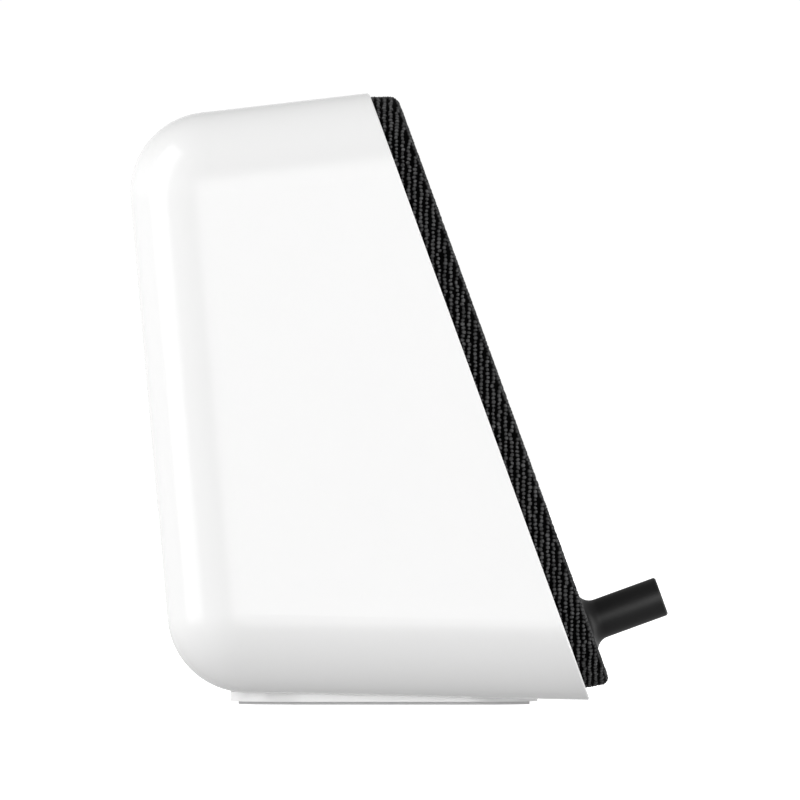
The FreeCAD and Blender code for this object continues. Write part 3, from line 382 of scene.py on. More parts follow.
@dataclass(frozen=True)
class Ceramic:
    """Fired or pressed ferrite: dark grains and a ground face."""

    name: str
    colour: Tone
    grain: float = 0.5 * MM

    def make(self) -> bpy.types.Material:
        """Makes the material.

        Returns:
            The material.
        """
        swatch = Swatch(self.name)
        grains = swatch.cells(self.grain)
        swatch.colour(grains, shade(self.colour, 0.8), shade(self.colour, 1.4))
        swatch.roughness(grains, 0.4, 0.6)
        return swatch.relief(grains, 0.02 * MM).material


@dataclass(frozen=True)
class SolderMask:
    """Green solder mask with the copper's layout showing faintly through it."""

    name: str
    ground: Tone
    copper: Tone
    track: float = 2.4 * MM

    def make(self) -> bpy.types.Material:
        """Makes the material.

        Returns:
            The material.
        """
        swatch = Swatch(self.name)
        tracks = swatch.add("ShaderNodeTexBrick", Scale=1.0 / self.track, Mortar_Size=0.06)
        swatch.join(swatch.place, tracks.inputs["Vector"])
        tracks.inputs["Color1"].default_value = (*self.ground, 1.0)
        tracks.inputs["Color2"].default_value = (*shade(self.ground, 0.8), 1.0)
        tracks.inputs["Mortar"].default_value = (*self.copper, 1.0)
        swatch.join(tracks.outputs["Color"], swatch.shader.inputs["Base Color"])
        swatch.roughness(swatch.noise(3 * MM), 0.3, 0.42)
        return swatch.relief(tracks.outputs["Fac"], 0.02 * MM, 0.5).material


@dataclass(frozen=True)
class Winding:
    """Enamelled wire wound tightly: fine turns across the coil's axis."""

    name: str
    colour: Tone
    lean: float
    wire: float = 0.2 * MM

    def make(self) -> bpy.types.Material:
        """Makes the material.

        Returns:
            The material.
        """
        swatch = Swatch(self.name).fix(Metallic=0.85, Roughness=0.3)
        mapping = swatch.add("ShaderNodeMapping", Rotation=(-self.lean, 0.0, 0.0))
        swatch.join(swatch.place, mapping.inputs["Vector"])
        turns = swatch.add("ShaderNodeTexWave", Scale=1.0 / (self.wire * 20.0), Distortion=0.0)
        turns.bands_direction = "Y"
        swatch.join(mapping.outputs["Vector"], turns.inputs["Vector"])
        swatch.colour(turns.outputs["Fac"], shade(self.colour, 0.5), self.colour)
        return swatch.relief(turns.outputs["Fac"], self.wire / 3).material


@dataclass(frozen=True)
class ClearPlastic:
    """Clear moulded plastic with faint flow lines."""

    name: str
    colour: Tone

    def make(self) -> bpy.types.Material:
        """Makes the material.

        Returns:
            The material.
        """
        swatch = Swatch(self.name).fix(Transmission_Weight=0.9, IOR=1.49)
        flow = swatch.noise(4 * MM, 2.0)
        swatch.colour(flow, shade(self.colour, 0.97), self.colour)
        swatch.roughness(flow, 0.05, 0.12)
        return swatch.relief(flow, 0.01 * MM).material


FINISHES = {
    "white_gloss": Lacquer("white_gloss_plastic", (0.9, 0.9, 0.898), 0.17),
    "grey_rubber": Moulding("grey_foot_rubber", (0.62, 0.62, 0.62), 0.75, depth=0.02 * MM),
    "black_rubber": Moulding("black_seal_rubber", (0.018, 0.018, 0.019), 0.7, depth=0.02 * MM),
    "black_abs": Moulding("black_baffle_plastic", (0.02, 0.02, 0.021), 0.5, depth=0.03 * MM),
    # the yarn's first tone is painted shade, for the stitches' feet and the backing between them
    "knit_cloth": Yarn("black_knit_yarn_painted_shade", (0.0004, 0.0004, 0.0004), (0.14, 0.14, 0.142)),
    "knob_black": Moulding(
        "soft_black_knob", (0.008, 0.008, 0.0082), 0.42, 0.12 * MM, 0.004 * MM, mottle=0.12, shine=0.3
    ),
    "brass": Metal("turned_brass", (0.78, 0.58, 0.28), 0.3),
    "steel": Metal("plated_steel", (0.6, 0.6, 0.61), 0.32),
    "black_steel": Moulding("black_paint_on_steel", (0.03, 0.03, 0.03), 0.45, 0.2 * MM, 0.008 * MM),
    "ferrite": Ceramic("ground_ferrite", (0.08, 0.08, 0.084)),
    "copper_wire": Winding("enamelled_copper_wire", (0.72, 0.33, 0.14), FRONT_LEAN),
    "coil_former": Metal("thin_aluminium_foil", (0.76, 0.76, 0.77), 0.25, Grain.ALONG_Z),
    "paper_cone": Fibre("black_paper_pulp", (0.05, 0.05, 0.05), 0.6 * MM, 0.06 * MM),
    "amber_cloth": Fibre("stiffened_amber_cloth", (0.6, 0.4, 0.14), 0.5 * MM, 0.08 * MM),
    "board_green": SolderMask("green_solder_mask", (0.012, 0.09, 0.045), (0.03, 0.18, 0.08)),
    "chip_black": Moulding("black_chip_resin", (0.03, 0.03, 0.03), 0.55, 0.15 * MM, 0.01 * MM),
    "tin_plate": Metal("bright_tin_plate", (0.78, 0.78, 0.77), 0.22, Grain.ALONG_Z),
    "spreader_alu": Metal("anodised_aluminium", (0.74, 0.74, 0.75), 0.4, Grain.ALONG_Z, 0.15 * MM),
    "pad_grey": Moulding("grey_thermal_pad", (0.36, 0.4, 0.45), 0.8, 0.5 * MM, 0.02 * MM),
    "connector_white": Moulding("ivory_nylon", (0.78, 0.76, 0.7), 0.45),
    "capacitor_sleeve": Moulding("dark_blue_sleeve", (0.02, 0.03, 0.08), 0.3),
    "clear_acrylic": ClearPlastic("clear_light_pipe", (0.93, 0.94, 0.95)),
    "led_white": Moulding("pale_lamp_resin", (0.85, 0.8, 0.5), 0.3),
    "lead_red": Moulding("red_wire_jacket", (0.42, 0.02, 0.015), 0.4),
    "coax_black": Moulding("black_wire_jacket", (0.02, 0.02, 0.02), 0.4),
    "ribbon_white": Moulding("white_ribbon_film", (0.8, 0.8, 0.77), 0.35, mottle=0.04),
    "wadding_grey": Fibre("grey_felt", (0.3, 0.3, 0.31), 0.9 * MM, 0.25 * MM),
    "antenna_film": Moulding("amber_film", (0.45, 0.25, 0.06), 0.25),
}


class Dresser:
    """Gives every piece the finish that its material slot names, and makes each finish once."""

    def __init__(self) -> None:
        """Starts with no finish made."""
        self.made: dict[str, bpy.types.Material] = {}

    def finish(self, slot: str) -> bpy.types.Material:
        """The material of a slot.

        Args:
            slot: the record's name of the slot.

        Returns:
            The material.
        """
        if slot not in self.made:
            self.made[slot] = FINISHES[slot].make()
        return self.made[slot]

    def dress_nodes(self) -> None:
        """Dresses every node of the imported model."""
        for part in frame["record"]["subparts"]:
            node = frame["nodes"][part["node"]]
            for place in node.material_slots:
                place.material = self.finish(part["material_slot"])
        log.info("dressed %d nodes", len(frame["nodes"]))

    def dress(self, piece: bpy.types.Object, slot: str, body: str, *nodes: str) -> bpy.types.Object:
        """Dresses a new piece and ties it to the model.

        Args:
            piece: the piece.
            slot: the material slot that it takes its finish from.
            body: the body that it moves with, or an empty name, which ties it to no body.
            nodes: the nodes that it stands for.

        Returns:
            The piece.
        """
        piece.data.materials.append(self.finish(slot))
        if body:
            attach(piece, body)
        if nodes:
            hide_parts(*nodes)
        log.info("%s: %d faces", piece.name, len(piece.data.polygons))
        return piece


def piece_from(mesh: bmesh.types.BMesh, name: str) -> bpy.types.Object:
    """Turns a bmesh into a smooth-shaded piece whose object sits at the origin.

    Args:
        mesh: the bmesh, which is freed.
        name: the piece's name.

    Returns:
        The new object.
    """
    data = bpy.data.meshes.new(name)
    mesh.to_mesh(data)
    mesh.free()
    data.shade_smooth()
    piece = bpy.data.objects.new(name, data)
    bpy.context.scene.collection.objects.link(piece)
    return piece


@dataclass
class RimFrame:
    """The leaning plane of the cabinet's mouth: x across, v up the lean, z outwards."""

    foot_y: float = -51.5 * MM
    foot_z: float = 1.25 * MM
    lean: float = FRONT_LEAN

    def matrix(self) -> Matrix:
        """The matrix that carries the plane's own coordinates to the model's."""
        place = Matrix.Translation((0, self.foot_y, self.foot_z))
        return place @ Matrix.Rotation(math.pi / 2 - self.lean, 4, "X")


@dataclass
class GrilleForm:
    """The grille's slab in the rim's frame: a rounded rectangle whose walls lean inwards or outwards."""

    rim_height: float = 161.5 * MM
    half_width: float = 78.5 * MM
    head_inset: float = 1.4 * MM
    foot_inset: float = 3.6 * MM
    head_lean: float = math.radians(18.3)
    foot_lean: float = math.radians(10.1)
    side_lean: float = math.radians(8.0)
    corner: float = 19.0 * MM
    back: float = -0.8 * MM
    face: float = 5.9 * MM
    edge: float = 1.8 * MM

    def rows(self, level: float, inset: float) -> tuple[float, float, float]:
        """Half width, foot row and head row at a level.

        Args:
            level: the height above the rim's plane.
            inset: how far every wall is moved in.

        Returns:
            The three lengths.
        """
        half = self.half_width - level * math.tan(self.side_lean) - inset
        foot = self.foot_inset - level * math.tan(self.foot_lean) + inset
        head = self.rim_height - self.head_inset - level * math.tan(self.head_lean) - inset
        return half, foot, head

    def runs(self) -> list[float]:
        """Lengths of the wall's eight runs round the slab at mid height: side, corner, head and so on.

        Returns:
            The eight lengths.
        """
        half, foot, head = self.rows((self.back + self.face) / 2, 0.0)
        side = head - foot - 2 * self.corner
        across = 2 * (half - self.corner)
        bend = self.corner * math.pi / 2
        return [side, bend, across, bend] * 2

    def profile(self, climb: float) -> tuple[float, float]:
        """Level and inset after a climb up the wall and over its rounded front edge.

        Args:
            climb: the distance from the wall's back.

        Returns:
            The level and the inset.
        """
        straight = self.face - self.edge - self.back
        if climb <= straight:
            return self.back + climb, 0.0
        turn = min((climb - straight) / self.edge, math.pi / 2)
        return self.face - self.edge * (1 - math.sin(turn)), self.edge * (1 - math.cos(turn))

    def climb_at(self, level: float) -> float:
        """How far up the wall, and over its rounded edge, a level lies.

        Args:
            level: the height above the rim's plane.

        Returns:
            The distance from the wall's back.
        """
        over = (level - self.face + self.edge) / self.edge
        straight = self.face - self.edge - self.back
        if over <= 0:
            return level - self.back
        return straight + self.edge * math.asin(min(over, 1.0))

    def wall(self, along: float, climb: float, sink: float = 0.0) -> Vector:
        """A point of the slab's wall.

        Args:
            along: the distance round the slab, from the lower end of the right side, anticlockwise.
            climb: the distance up the wall from its back.
            sink: how far under the surface the point lies.

        Returns:
            The point in the rim's frame.
        """
        level, inset = self.profile(climb)
        half, foot, head = self.rows(level, inset + sink)
        bend = max(self.corner - inset - sink, MM)
        centres = ((half, head, 1, 1), (-half, head, -1, 1), (-half, foot, -1, -1), (half, foot, 1, -1))
        run = 0
        lengths = self.runs()
        while along > lengths[run] and run < len(lengths) - 1:
            along -= lengths[run]
            run += 1
        share = min(along / lengths[run], 1.0)
        corner = run // 2
        x, v, right, up = centres[corner]
        centre = Vector((x - right * bend, v - up * bend))
        start = corner * math.pi / 2
        if run % 2:
            turn = start + share * math.pi / 2
            spot = centre + bend * Vector((math.cos(turn), math.sin(turn)))
        else:
            x, v, right, up = centres[corner - 1]
            before = Vector((x - right * bend, v - up * bend))
            outward = bend * Vector((math.cos(start), math.sin(start)))
            spot = before.lerp(centre, share) + outward
        return Vector((spot.x, spot.y, level))

    def wall_normal(self, along: float, climb: float) -> Vector:
        """The wall's outward direction at a point, from its neighbours.

        Args:
            along: the distance round the slab.
            climb: the distance up the wall.

        Returns:
            The direction in the rim's frame.
        """
        here = self.wall(along, climb)
        across = self.wall(along + NUDGE, climb) - here
        upward = self.wall(along, climb + NUDGE) - here
        return across.cross(upward).normalized()


@dataclass
class KnitGrille:
    """The black knitted cloth of the front: a thin backing stretched over the slab, and its raised face.

    Spans give the least and the most of a stitch's width, length or height, as shares of the usual one.
    """

    form: GrilleForm
    rim: RimFrame
    column: float = 1.4 * MM
    row: float = 1.08 * MM
    loft: float = 0.6 * MM
    width_span: Span = (0.62, 1.0)
    length_span: Span = (0.8, 1.35)
    loft_span: Span = (0.75, 1.2)
    slant: float = 0.4
    slant_spread: float = 0.45
    stray: float = 0.12 * MM
    drift: float = 0.15
    drift_turn: float = 1.7
    column_lean: float = math.radians(1.5)
    columns_past_foot: int = 6
    hem: float = 0.3 * MM
    first_row: float = 0.5 * MM
    shoulder: float = 0.4 * MM
    crest: float = 0.16 * MM
    face_margin: float = 0.8
    backing_depth: float = 0.2 * MM
    thickness: float = 0.22 * MM
    knob_row: float = 17.7 * MM
    knob_margin: float = 0.75
    hole: float = 9.0 * MM
    tuck: float = 0.8 * MM
    tuck_steps: int = 4
    tuck_depth: float = 3.0 * MM
    ring: float = 0.26 * MM
    rings: int = 8
    ring_steps: int = 72
    swell: float = 0.4 * MM
    swell_width: float = 1.8 * MM
    stations: int = 160
    courses: int = 12
    seed: int = 20

    def rise(self, x: float, v: float) -> float:
        """How far the cloth stands proud round the knob's opening at a place on the face."""
        out = math.hypot(x, v - self.knob_row) - self.hole
        return self.swell * math.exp(-((max(out, 0.0) / self.swell_width) ** 2))

    def collar(self) -> bmesh.types.BMesh:
        """The turned-in collar round the knob's opening and the swollen ring of face outside it.

        Returns:
            A bmesh in the rim's frame, open at its outer edge.
        """
        face = self.form.face - self.backing_depth
        mesh = bmesh.new()
        outline = [(self.hole, face - self.tuck_depth)]
        for step in range(self.tuck_steps + 1):
            turn = step / self.tuck_steps * math.pi / 2
            top = face + self.swell - self.tuck * (1 - math.sin(turn))
            outline.append((self.hole + self.tuck * (1 - math.cos(turn)), top))
        for step in range(1, self.rings + 1):
            radius = self.hole + self.tuck + step * self.ring
            outline.append((radius, face + self.rise(radius, self.knob_row)))
        verts = [mesh.verts.new((radius, 0.0, level)) for radius, level in outline]
        edges = [mesh.edges.new(pair) for pair in zip(verts, verts[1:])]
        bmesh.ops.spin(
            mesh,
            geom=verts + edges,
            cent=(0, 0, 0),
            axis=(0, 0, 1),
            angle=math.tau,
            steps=self.ring_steps,
            use_merge=True,
        )
        bmesh.ops.translate(mesh, verts=mesh.verts, vec=(0, self.knob_row, 0))
        return mesh

    def backing(self) -> bpy.types.Object:
        """The cloth's thin backing, from its hem behind the rim over the front edge to the knob's collar.

        Returns:
            The piece.
        """
        form = self.form
        mesh = self.collar()
        lip = [edge for edge in mesh.edges if edge.is_boundary]
        front = max(vert.co.z for edge in lip for vert in edge.verts)
        lip = [edge for edge in lip if edge.verts[0].co.z > front - self.thickness]
        station = mesh.verts.layers.float.new("station")
        ring = bmesh.ops.create_circle(mesh, segments=self.stations)["verts"]
        for index, vert in enumerate(ring):
            vert[station] = index / self.stations * sum(form.runs())
            vert.co = form.wall(vert[station], 0.0, self.backing_depth)
        hem = list({edge for vert in ring for edge in vert.link_edges})
        top = form.climb_at(form.face)
        for course in range(1, self.courses + 1):
            climb = top * course / self.courses
            grown = bmesh.ops.extrude_edge_only(mesh, edges=hem)["geom"]
            fresh = {item for item in grown if isinstance(item, bmesh.types.BMVert)}
            for vert in fresh:
                vert.co = form.wall(vert[station], climb, self.backing_depth)
                vert.co.z = min(vert.co.z, form.face - self.backing_depth)
            hem = [item for item in grown if isinstance(item, bmesh.types.BMEdge)]
            hem = [edge for edge in hem if fresh.issuperset(edge.verts)]
        bmesh.ops.bridge_loops(mesh, edges=hem + lip)
        bmesh.ops.recalc_face_normals(mesh, faces=mesh.faces)
        mesh.transform(self.rim.matrix())
        piece = piece_from(mesh, "grille_cloth_backing")
        solid = piece.modifiers.new("thickness", "SOLIDIFY")
        solid.thickness = self.thickness
        solid.offset = -1.0
        return piece

    def stitch(self) -> bmesh.types.BMesh:
        """One raised stitch: a low dome with six sides, open underneath.

        Returns:
            A bmesh with the stitch at the origin, its crown upwards, and how near each vertex is to it,
            which masks the yarn's painted shade.
        """
        mesh = bmesh.new()
        bmesh.ops.create_uvsphere(mesh, u_segments=6, v_segments=4, radius=1.0)
        low = [vert for vert in mesh.verts if vert.co.z < -0.1]
        bmesh.ops.delete(mesh, geom=low, context="VERTS")
        # height towards the crown, which the yarn's material turns into painted shade towards the foot
        crown = mesh.verts.layers.float.new(STITCH_SHADE_MASK)
        for vert in mesh.verts:
            vert[crown] = max(vert.co.z, 0.0)
        return mesh

    def phase(self, column: int) -> float:
        """How far a column's first stitch is shifted along it, so that the rows don't line up."""
        return self.row * (0.5 * (column % 2) + self.drift * math.sin(column * self.drift_turn))

    def face_places(self) -> Iterator[Spot]:
        """Place, outward direction and column direction of each stitch on the flat face.

        Yields:
            The three vectors in the rim's frame.
        """
        form = self.form
        half, foot, head = form.rows(form.face, form.edge * self.face_margin)
        bend = form.corner - form.edge
        columns = int(half / self.column)
        for i in range(-columns, columns + 1):
            x = i * self.column
            v = foot + self.phase(i)
            while v < head:
                over = max(abs(x) - (half - bend), 0.0)
                under = max((foot + bend) - v, v - (head - bend), 0.0)
                inside = math.hypot(over, under) < bend
                clear = math.hypot(x, v - self.knob_row) > self.hole + self.knob_margin * self.column
                if inside and clear:
                    level = form.face + self.rise(x, v) - self.backing_depth
                    yield Vector((x, v, level)), Vector((0, 0, 1)), Vector((0, 1, 0))
                v += self.row

    def wall_places(self) -> Iterator[Spot]:
        """Place, outward direction and column direction of each stitch on the walls and front edge.

        On the sides and corners the columns stand nearly upright in the room, leaning by column_lean. On
        the head and foot they run on from the face's columns.

        Yields:
            The three vectors in the rim's frame.
        """
        form = self.form
        runs = form.runs()
        around = sum(runs)
        starts = [sum(runs[:i]) for i in range(len(runs))]
        for start, way in ((starts[7], 1), (starts[6], -1)):
            length = starts[2] + runs[7]
            columns = int(form.rim_height * math.sin(self.rim.lean) / self.column)
            for column in range(-self.columns_past_foot, columns + 1):
                for along, climb, slope in self.upright(column, start, way, length):
                    yield self.on_wall((start + way * along) % around, climb, (way, slope))
        top = form.climb_at(form.face - self.shoulder)
        for start, end in ((starts[2], starts[3]), (starts[6], starts[7])):
            for column in range(1, int((end - start) / self.column) + 1):
                for row in range(int(top / self.row)):
                    climb = self.first_row + self.row * (row + 0.5 * (column % 2))
                    if climb < top:
                        yield self.on_wall(start + column * self.column, climb, (0.0, 1.0))
        crest = form.climb_at(form.face - self.crest)
        for step in range(int(around / self.row)):
            yield self.on_wall(step * self.row, crest, (1.0, 0.0))

    def upright(self, column: int, start: float, way: int, length: float) -> Iterator[Triple]:
        """Steps along one column that stands nearly upright in the room, over a side and its two corners.

        Args:
            column: the column's number, counted from the foot of the rim towards the back.
            start: where the side begins, as a distance round the slab.
            way: 1 or -1, the direction round the slab that leads up this side.
            length: the length of the side with its corners.

        Yields:
            The distance from the start, the climb up the wall, and the climb for each unit of distance.
        """
        form = self.form
        lean = self.rim.lean - self.column_lean
        around = sum(form.runs())
        step = 0.1 * MM
        along = self.phase(column) + step
        while along < length - step:
            here, ahead = (
                form.wall((start + way * place) % around, form.edge).y for place in (along, along + step)
            )
            slope = (ahead - here) / step * math.tan(lean)
            level = here * math.tan(lean) - column * self.column / math.cos(lean)
            if form.back + self.hem < level < form.face - self.shoulder:
                yield along, form.climb_at(level), slope
            along += self.row / math.hypot(1.0, slope)

    def on_wall(self, along: float, climb: float, heading: Span) -> Spot:
        """A stitch's place, outward direction and column direction on the wall.

        Args:
            along: the distance round the slab.
            climb: the distance up the wall.
            heading: the column's direction, as shares of the two.

        Returns:
            The three vectors in the rim's frame.
        """
        normal = self.form.wall_normal(along, climb)
        here = self.form.wall(along, climb)
        ahead = self.form.wall(along + NUDGE * heading[0], climb + NUDGE * heading[1])
        return here - normal * self.backing_depth, normal, (ahead - here).normalized()

    def laid(self, index: int, spot: Spot, chance: random.Random) -> Matrix:
        """The matrix that lays one stitch, turned, sized and moved a little differently from the next.

        Args:
            index: the stitch's number, which decides the way that it slants.
            spot: its place, outward direction and column direction.
            chance: the seeded source of the differences.

        Returns:
            The matrix.
        """
        place, normal, heading = spot
        across = heading.cross(normal)
        tilt = chance.gauss(self.slant * (1 if index % 2 else -1), self.slant_spread)
        ahead = heading * math.cos(tilt) + across * math.sin(tilt)
        place = place + across * chance.gauss(0.0, self.stray)
        matrix = Matrix.Identity(4)
        matrix.col[0][:3] = ahead.cross(normal) * self.column * 0.5 * chance.uniform(*self.width_span)
        matrix.col[1][:3] = ahead * self.row * 0.5 * chance.uniform(*self.length_span)
        matrix.col[2][:3] = normal * self.loft * chance.uniform(*self.loft_span)
        matrix.col[3][:3] = place
        return self.rim.matrix() @ matrix

    def stitches(self, name: str, places: list[Spot]) -> bpy.types.Object:
        """A field of stitches.

        Args:
            name: the piece's name.
            places: the stitches' places and directions in the rim's frame.

        Returns:
            The piece.
        """
        chance = random.Random(self.seed)
        lays = [self.laid(index, spot, chance) for index, spot in enumerate(places)]
        mesh = self.stitch()
        number = mesh.verts.layers.int.new("number")
        copies = 1
        while copies < len(lays):
            made = bmesh.ops.duplicate(mesh, geom=mesh.verts[:] + mesh.edges[:] + mesh.faces[:])["geom"]
            for vert in made:
                if isinstance(vert, bmesh.types.BMVert):
                    vert[number] += copies
            copies *= 2
        spare = [vert for vert in mesh.verts if vert[number] >= len(lays)]
        bmesh.ops.delete(mesh, geom=spare, context="VERTS")
        for vert in mesh.verts:
            vert.co = lays[vert[number]] @ vert.co
        mesh.verts.layers.int.remove(number)
        bmesh.ops.recalc_face_normals(mesh, faces=mesh.faces)
        return piece_from(mesh, name)

    def build(self, dresser: Dresser) -> None:
        """Builds and dresses the cloth.

        Args:
            dresser: the finishes.
        """
        # the backing carries no crown attribute, so the yarn paints it with its painted shade tone all
        # over
        backing = dresser.dress(self.backing(), "knit_cloth", "cabinet", "grille_cloth")
        middle = self.form.rim_height / 2
        face = list(self.face_places())
        fields = {
            "knit_face_lower": [place for place in face if place[0].y < middle],
            "knit_face_upper": [place for place in face if place[0].y >= middle],
            "knit_walls": list(self.wall_places()),
        }
        for name, places in fields.items():
            dresser.dress(self.stitches(name, places), "knit_cloth", "cabinet")


@dataclass
class FeltWadding:
    """The two felt pads on the cabinet's side walls: soft lumps pressed flat against the wall."""

    weld: float = 0.01 * MM
    voxel: float = 2.2 * MM
    lumps: float = 11.0 * MM
    hollow: float = 1.2 * MM
    passes: int = 4

    def build(self, dresser: Dresser) -> None:
        """Builds and dresses the pads.

        Args:
            dresser: the finishes.
        """
        source = frame["nodes"]["acoustic_wadding"]
        mesh = bmesh.new()
        mesh.from_mesh(source.data)
        bmesh.ops.remove_doubles(mesh, verts=mesh.verts, dist=self.weld)
        rough = piece_from(mesh, "felt_rough")
        remesh = rough.modifiers.new("even", "REMESH")
        remesh.mode = "VOXEL"
        remesh.voxel_size = self.voxel
        relief = bpy.data.textures.new("felt_lumps", "CLOUDS")
        relief.noise_scale = self.lumps
        sag = rough.modifiers.new("lumps", "DISPLACE")
        sag.texture = relief
        sag.texture_coords = "LOCAL"
        sag.strength = self.hollow
        sag.mid_level = 1.0
        soft = rough.modifiers.new("soft", "SMOOTH")
        soft.iterations = self.passes
        graph = bpy.context.evaluated_depsgraph_get()
        shaped = bmesh.new()
        shaped.from_mesh(rough.evaluated_get(graph).to_mesh())
        bpy.data.objects.remove(rough)
        pads = piece_from(shaped, "felt_wadding")
        dresser.dress(pads, "wadding_grey", "cabinet", "acoustic_wadding")


@dataclass
class FlexRing:
    """A ring of the woofer: its outer edge sits on the basket, its inner one meets the cone.

    The ring is cut into equal sectors, each centred on its own middle radius. Neighbours meet on a radius
    at the same angle from both.
    """

    node: str
    slot: str
    still: float
    moving: float
    row: float = 83.2 * MM
    sectors: int = 12
    crease: float = math.radians(30.0)
    weld: float = 0.001 * MM

    def sector(self, place: Matrix, name: str) -> bpy.types.Object:
        """One sector.

        Args:
            place: the matrix whose x axis is the sector's middle radius and whose z axis is the ring's.
            name: the piece's name.

        Returns:
            The piece.
        """
        mesh = bmesh.new()
        mesh.from_mesh(frame["nodes"][self.node].data)
        bmesh.ops.remove_doubles(mesh, verts=mesh.verts, dist=self.weld)
        mesh.transform(place.inverted())
        half = math.pi / self.sectors
        for side in (-1, 1):
            bmesh.ops.bisect_plane(
                mesh,
                geom=mesh.verts[:] + mesh.edges[:] + mesh.faces[:],
                plane_co=(0, 0, 0),
                plane_no=(-math.sin(half), side * math.cos(half), 0),
                clear_outer=True,
            )
        bmesh.ops.recalc_face_normals(mesh, faces=mesh.faces)
        for edge in mesh.edges:
            edge.smooth = edge.calc_face_angle(0.0) < self.crease
        mesh.transform(place)
        return piece_from(mesh, name)

    def build(self, dresser: Dresser, rim: RimFrame) -> None:
        """Builds and dresses every sector.

        Args:
            dresser: the finishes.
            rim: the rim's frame.
        """
        middle = rim.matrix() @ Matrix.Translation((0, self.row, 0))
        held = self.still * math.cos(math.pi / self.sectors)
        for index in range(self.sectors):
            place = middle @ Matrix.Rotation(math.tau * index / self.sectors, 4, "Z")
            piece = self.sector(place, f"{self.node}_{index + 1:02d}")
            dresser.dress(piece, self.slot, "", self.node)
            start, end = place @ Vector((held, 0, 0)), place @ Vector((self.moving, 0, 0))
            tuple(start)
            tuple(end)
            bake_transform(piece)


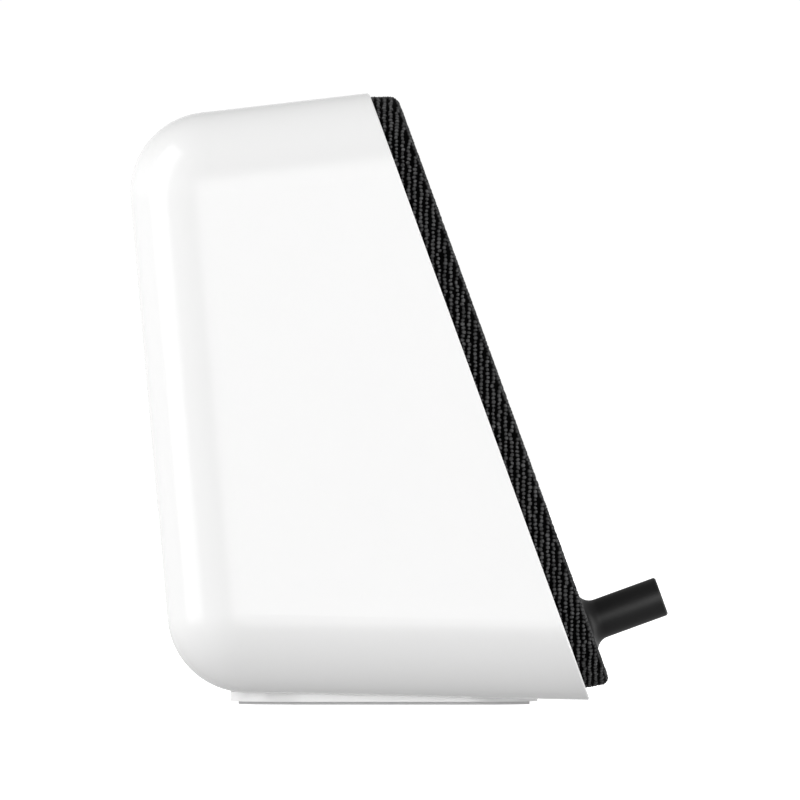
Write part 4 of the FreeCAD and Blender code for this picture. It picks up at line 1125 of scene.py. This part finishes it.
@dataclass
class Studio:
    """A plain pale floor, soft light all round and a long lens square to the speaker's side.

    sky_tones gives the sky's brightness at shares of the way from straight down to straight up.
    near_glow and far_glow each give two places along X, and how bright the room is at them.
    """

    field_width: float = 200 * MM
    lens: float = 1200.0
    sensor: float = 36.0
    near_side: float = -60 * MM
    middle_y: float = -4.0 * MM
    middle_z: float = 76.25 * MM
    sight: float = 60.0
    floor_reach: float = 12.0
    floor_patch: float = 0.4
    bounce_drop: float = 0.3 * MM
    sky_tones: tuple[Span, ...] = (
        (0.0, 0.3),
        (0.3, 0.45),
        (0.5, 1.0),
        (0.59, 0.86),
        (0.75, 0.36),
        (1.0, 0.26),
    )
    near_glow: tuple[Span, Span] = ((-1.0, -0.88), (4.25, 1.5))
    far_glow: tuple[Span, Span] = ((0.3, 1.0), (1.0, 0.69))

    def camera(self) -> None:
        """Places the camera level with the speaker's middle, looking along +X."""
        data = bpy.data.cameras.new("side_view")
        data.lens = self.lens
        data.sensor_width = self.sensor
        data.clip_end = self.sight
        camera = bpy.data.objects.new("side_view", data)
        bpy.context.scene.collection.objects.link(camera)
        distance = self.field_width * self.lens / self.sensor
        camera.location = (self.near_side - distance, self.middle_y, self.middle_z)
        camera.rotation_mode = "QUATERNION"
        camera.rotation_quaternion = Vector((1, 0, 0)).to_track_quat("-Z", "Y")
        bpy.context.scene.camera = camera

    def sky(self) -> None:
        """A bright horizon that falls off softly up and down, brightest towards the side on show."""
        world = bpy.data.worlds.new("soft_room")
        world.use_nodes = True
        tree = world.node_tree
        place = tree.nodes.new("ShaderNodeTexCoord")
        split = tree.nodes.new("ShaderNodeSeparateXYZ")
        ramp = tree.nodes.new("ShaderNodeValToRGB")
        tree.links.new(place.outputs["Generated"], split.inputs["Vector"])
        rise = tree.nodes.new("ShaderNodeMapRange")
        rise.inputs["From Min"].default_value = -1.0
        tree.links.new(split.outputs["Z"], rise.inputs["Value"])
        tree.links.new(rise.outputs["Result"], ramp.inputs["Fac"])
        elements = ramp.color_ramp.elements
        while len(elements) < len(self.sky_tones):
            elements.new(0.5)
        for element, (height, tone) in zip(elements, self.sky_tones):
            element.position = height
            element.color = (tone, tone, tone, 1.0)
        glow = tree.nodes.new("ShaderNodeMath")
        glow.operation = "MULTIPLY"
        for socket, (places, strengths) in zip(glow.inputs, (self.near_glow, self.far_glow)):
            lobe = tree.nodes.new("ShaderNodeMapRange")
            lobe.interpolation_type = "SMOOTHSTEP"
            for name, value in zip(("From Min", "From Max", "To Min", "To Max"), places + strengths):
                lobe.inputs[name].default_value = value
            tree.links.new(split.outputs["X"], lobe.inputs["Value"])
            tree.links.new(lobe.outputs["Result"], socket)
        background = tree.nodes["Background"]
        tree.links.new(glow.outputs["Value"], background.inputs["Strength"])
        tree.links.new(ramp.outputs["Color"], background.inputs["Color"])
        bpy.context.scene.world = world

    def floor(self, name: str, tone: float, glow: float) -> bpy.types.Object:
        """A plain floor.

        Args:
            name: its name.
            tone: how much light it reflects.
            glow: how much light it adds.

        Returns:
            The floor.
        """
        mesh = bmesh.new()
        bmesh.ops.create_grid(mesh, x_segments=2, y_segments=2, size=self.floor_reach)
        floor = piece_from(mesh, name)
        swatch = Swatch(name)
        swatch.colour(swatch.noise(self.floor_patch), (tone * 0.995,) * 3, (tone,) * 3)
        swatch.fix(Roughness=0.9, Specular_IOR_Level=0.1)
        swatch.fix(Emission_Color=(1.0, 1.0, 1.0, 1.0), Emission_Strength=glow)
        floor.data.materials.append(swatch.material)
        return floor

    def floors(self) -> None:
        """The pale floor that shows, and the one under it that gives the room's bounce."""
        shown = self.floor("pale_floor", tone=0.9, glow=0.85)
        shown.visible_diffuse = False
        shown.visible_glossy = False
        bounce = self.floor("bounce_floor", tone=0.35, glow=0.33)
        bounce.data.transform(Matrix.Translation((0, 0, -self.bounce_drop)))
        bounce.visible_camera = False
        bounce.visible_glossy = False

    def lamp(self, name: str, place: Triple, size: Span, glow: float) -> None:
        """A large soft lamp that faces the speaker.

        Args:
            name: its name.
            place: where it stands.
            size: its width and height.
            glow: its brightness, where white paper in full light is 1.
        """
        data = bpy.data.lights.new(name, "AREA")
        data.shape = "RECTANGLE"
        data.size, data.size_y = size
        data.energy = glow * math.pi * size[0] * size[1]
        lamp = bpy.data.objects.new(name, data)
        lamp.location = place
        lamp.rotation_mode = "QUATERNION"
        aim = Vector((0, 0, self.middle_z)) - Vector(place)
        lamp.rotation_quaternion = aim.to_track_quat("-Z", "Y")
        bpy.context.scene.collection.objects.link(lamp)

    def build(self) -> None:
        """Builds the whole studio."""
        bpy.context.scene.view_settings.view_transform = "Standard"
        self.sky()
        self.floors()
        self.lamp("back_strip", place=(-0.38, 2.17, 0.9), size=(1.4, 3.0), glow=2.2)
        self.lamp("front_softbox", place=(-0.3, -2.2, 0.6), size=(1.6, 1.6), glow=2.0)
        self.camera()
        log.info("studio ready")


def main() -> None:
    """Builds every piece in order."""
    logging.basicConfig(level=logging.INFO, format="%(name)s: %(message)s")
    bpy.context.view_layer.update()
    dresser = Dresser()
    dresser.dress_nodes()
    rim = RimFrame()
    KnitGrille(GrilleForm(), rim).build(dresser)
    FlexRing("woofer_surround", "black_rubber", still=35.4 * MM, moving=29.8 * MM).build(dresser, rim)
    FlexRing("woofer_spider", "amber_cloth", still=23.5 * MM, moving=13.2 * MM).build(dresser, rim)
    FeltWadding().build(dresser)
    Studio().build()


if __name__ == "__main__":
    main()
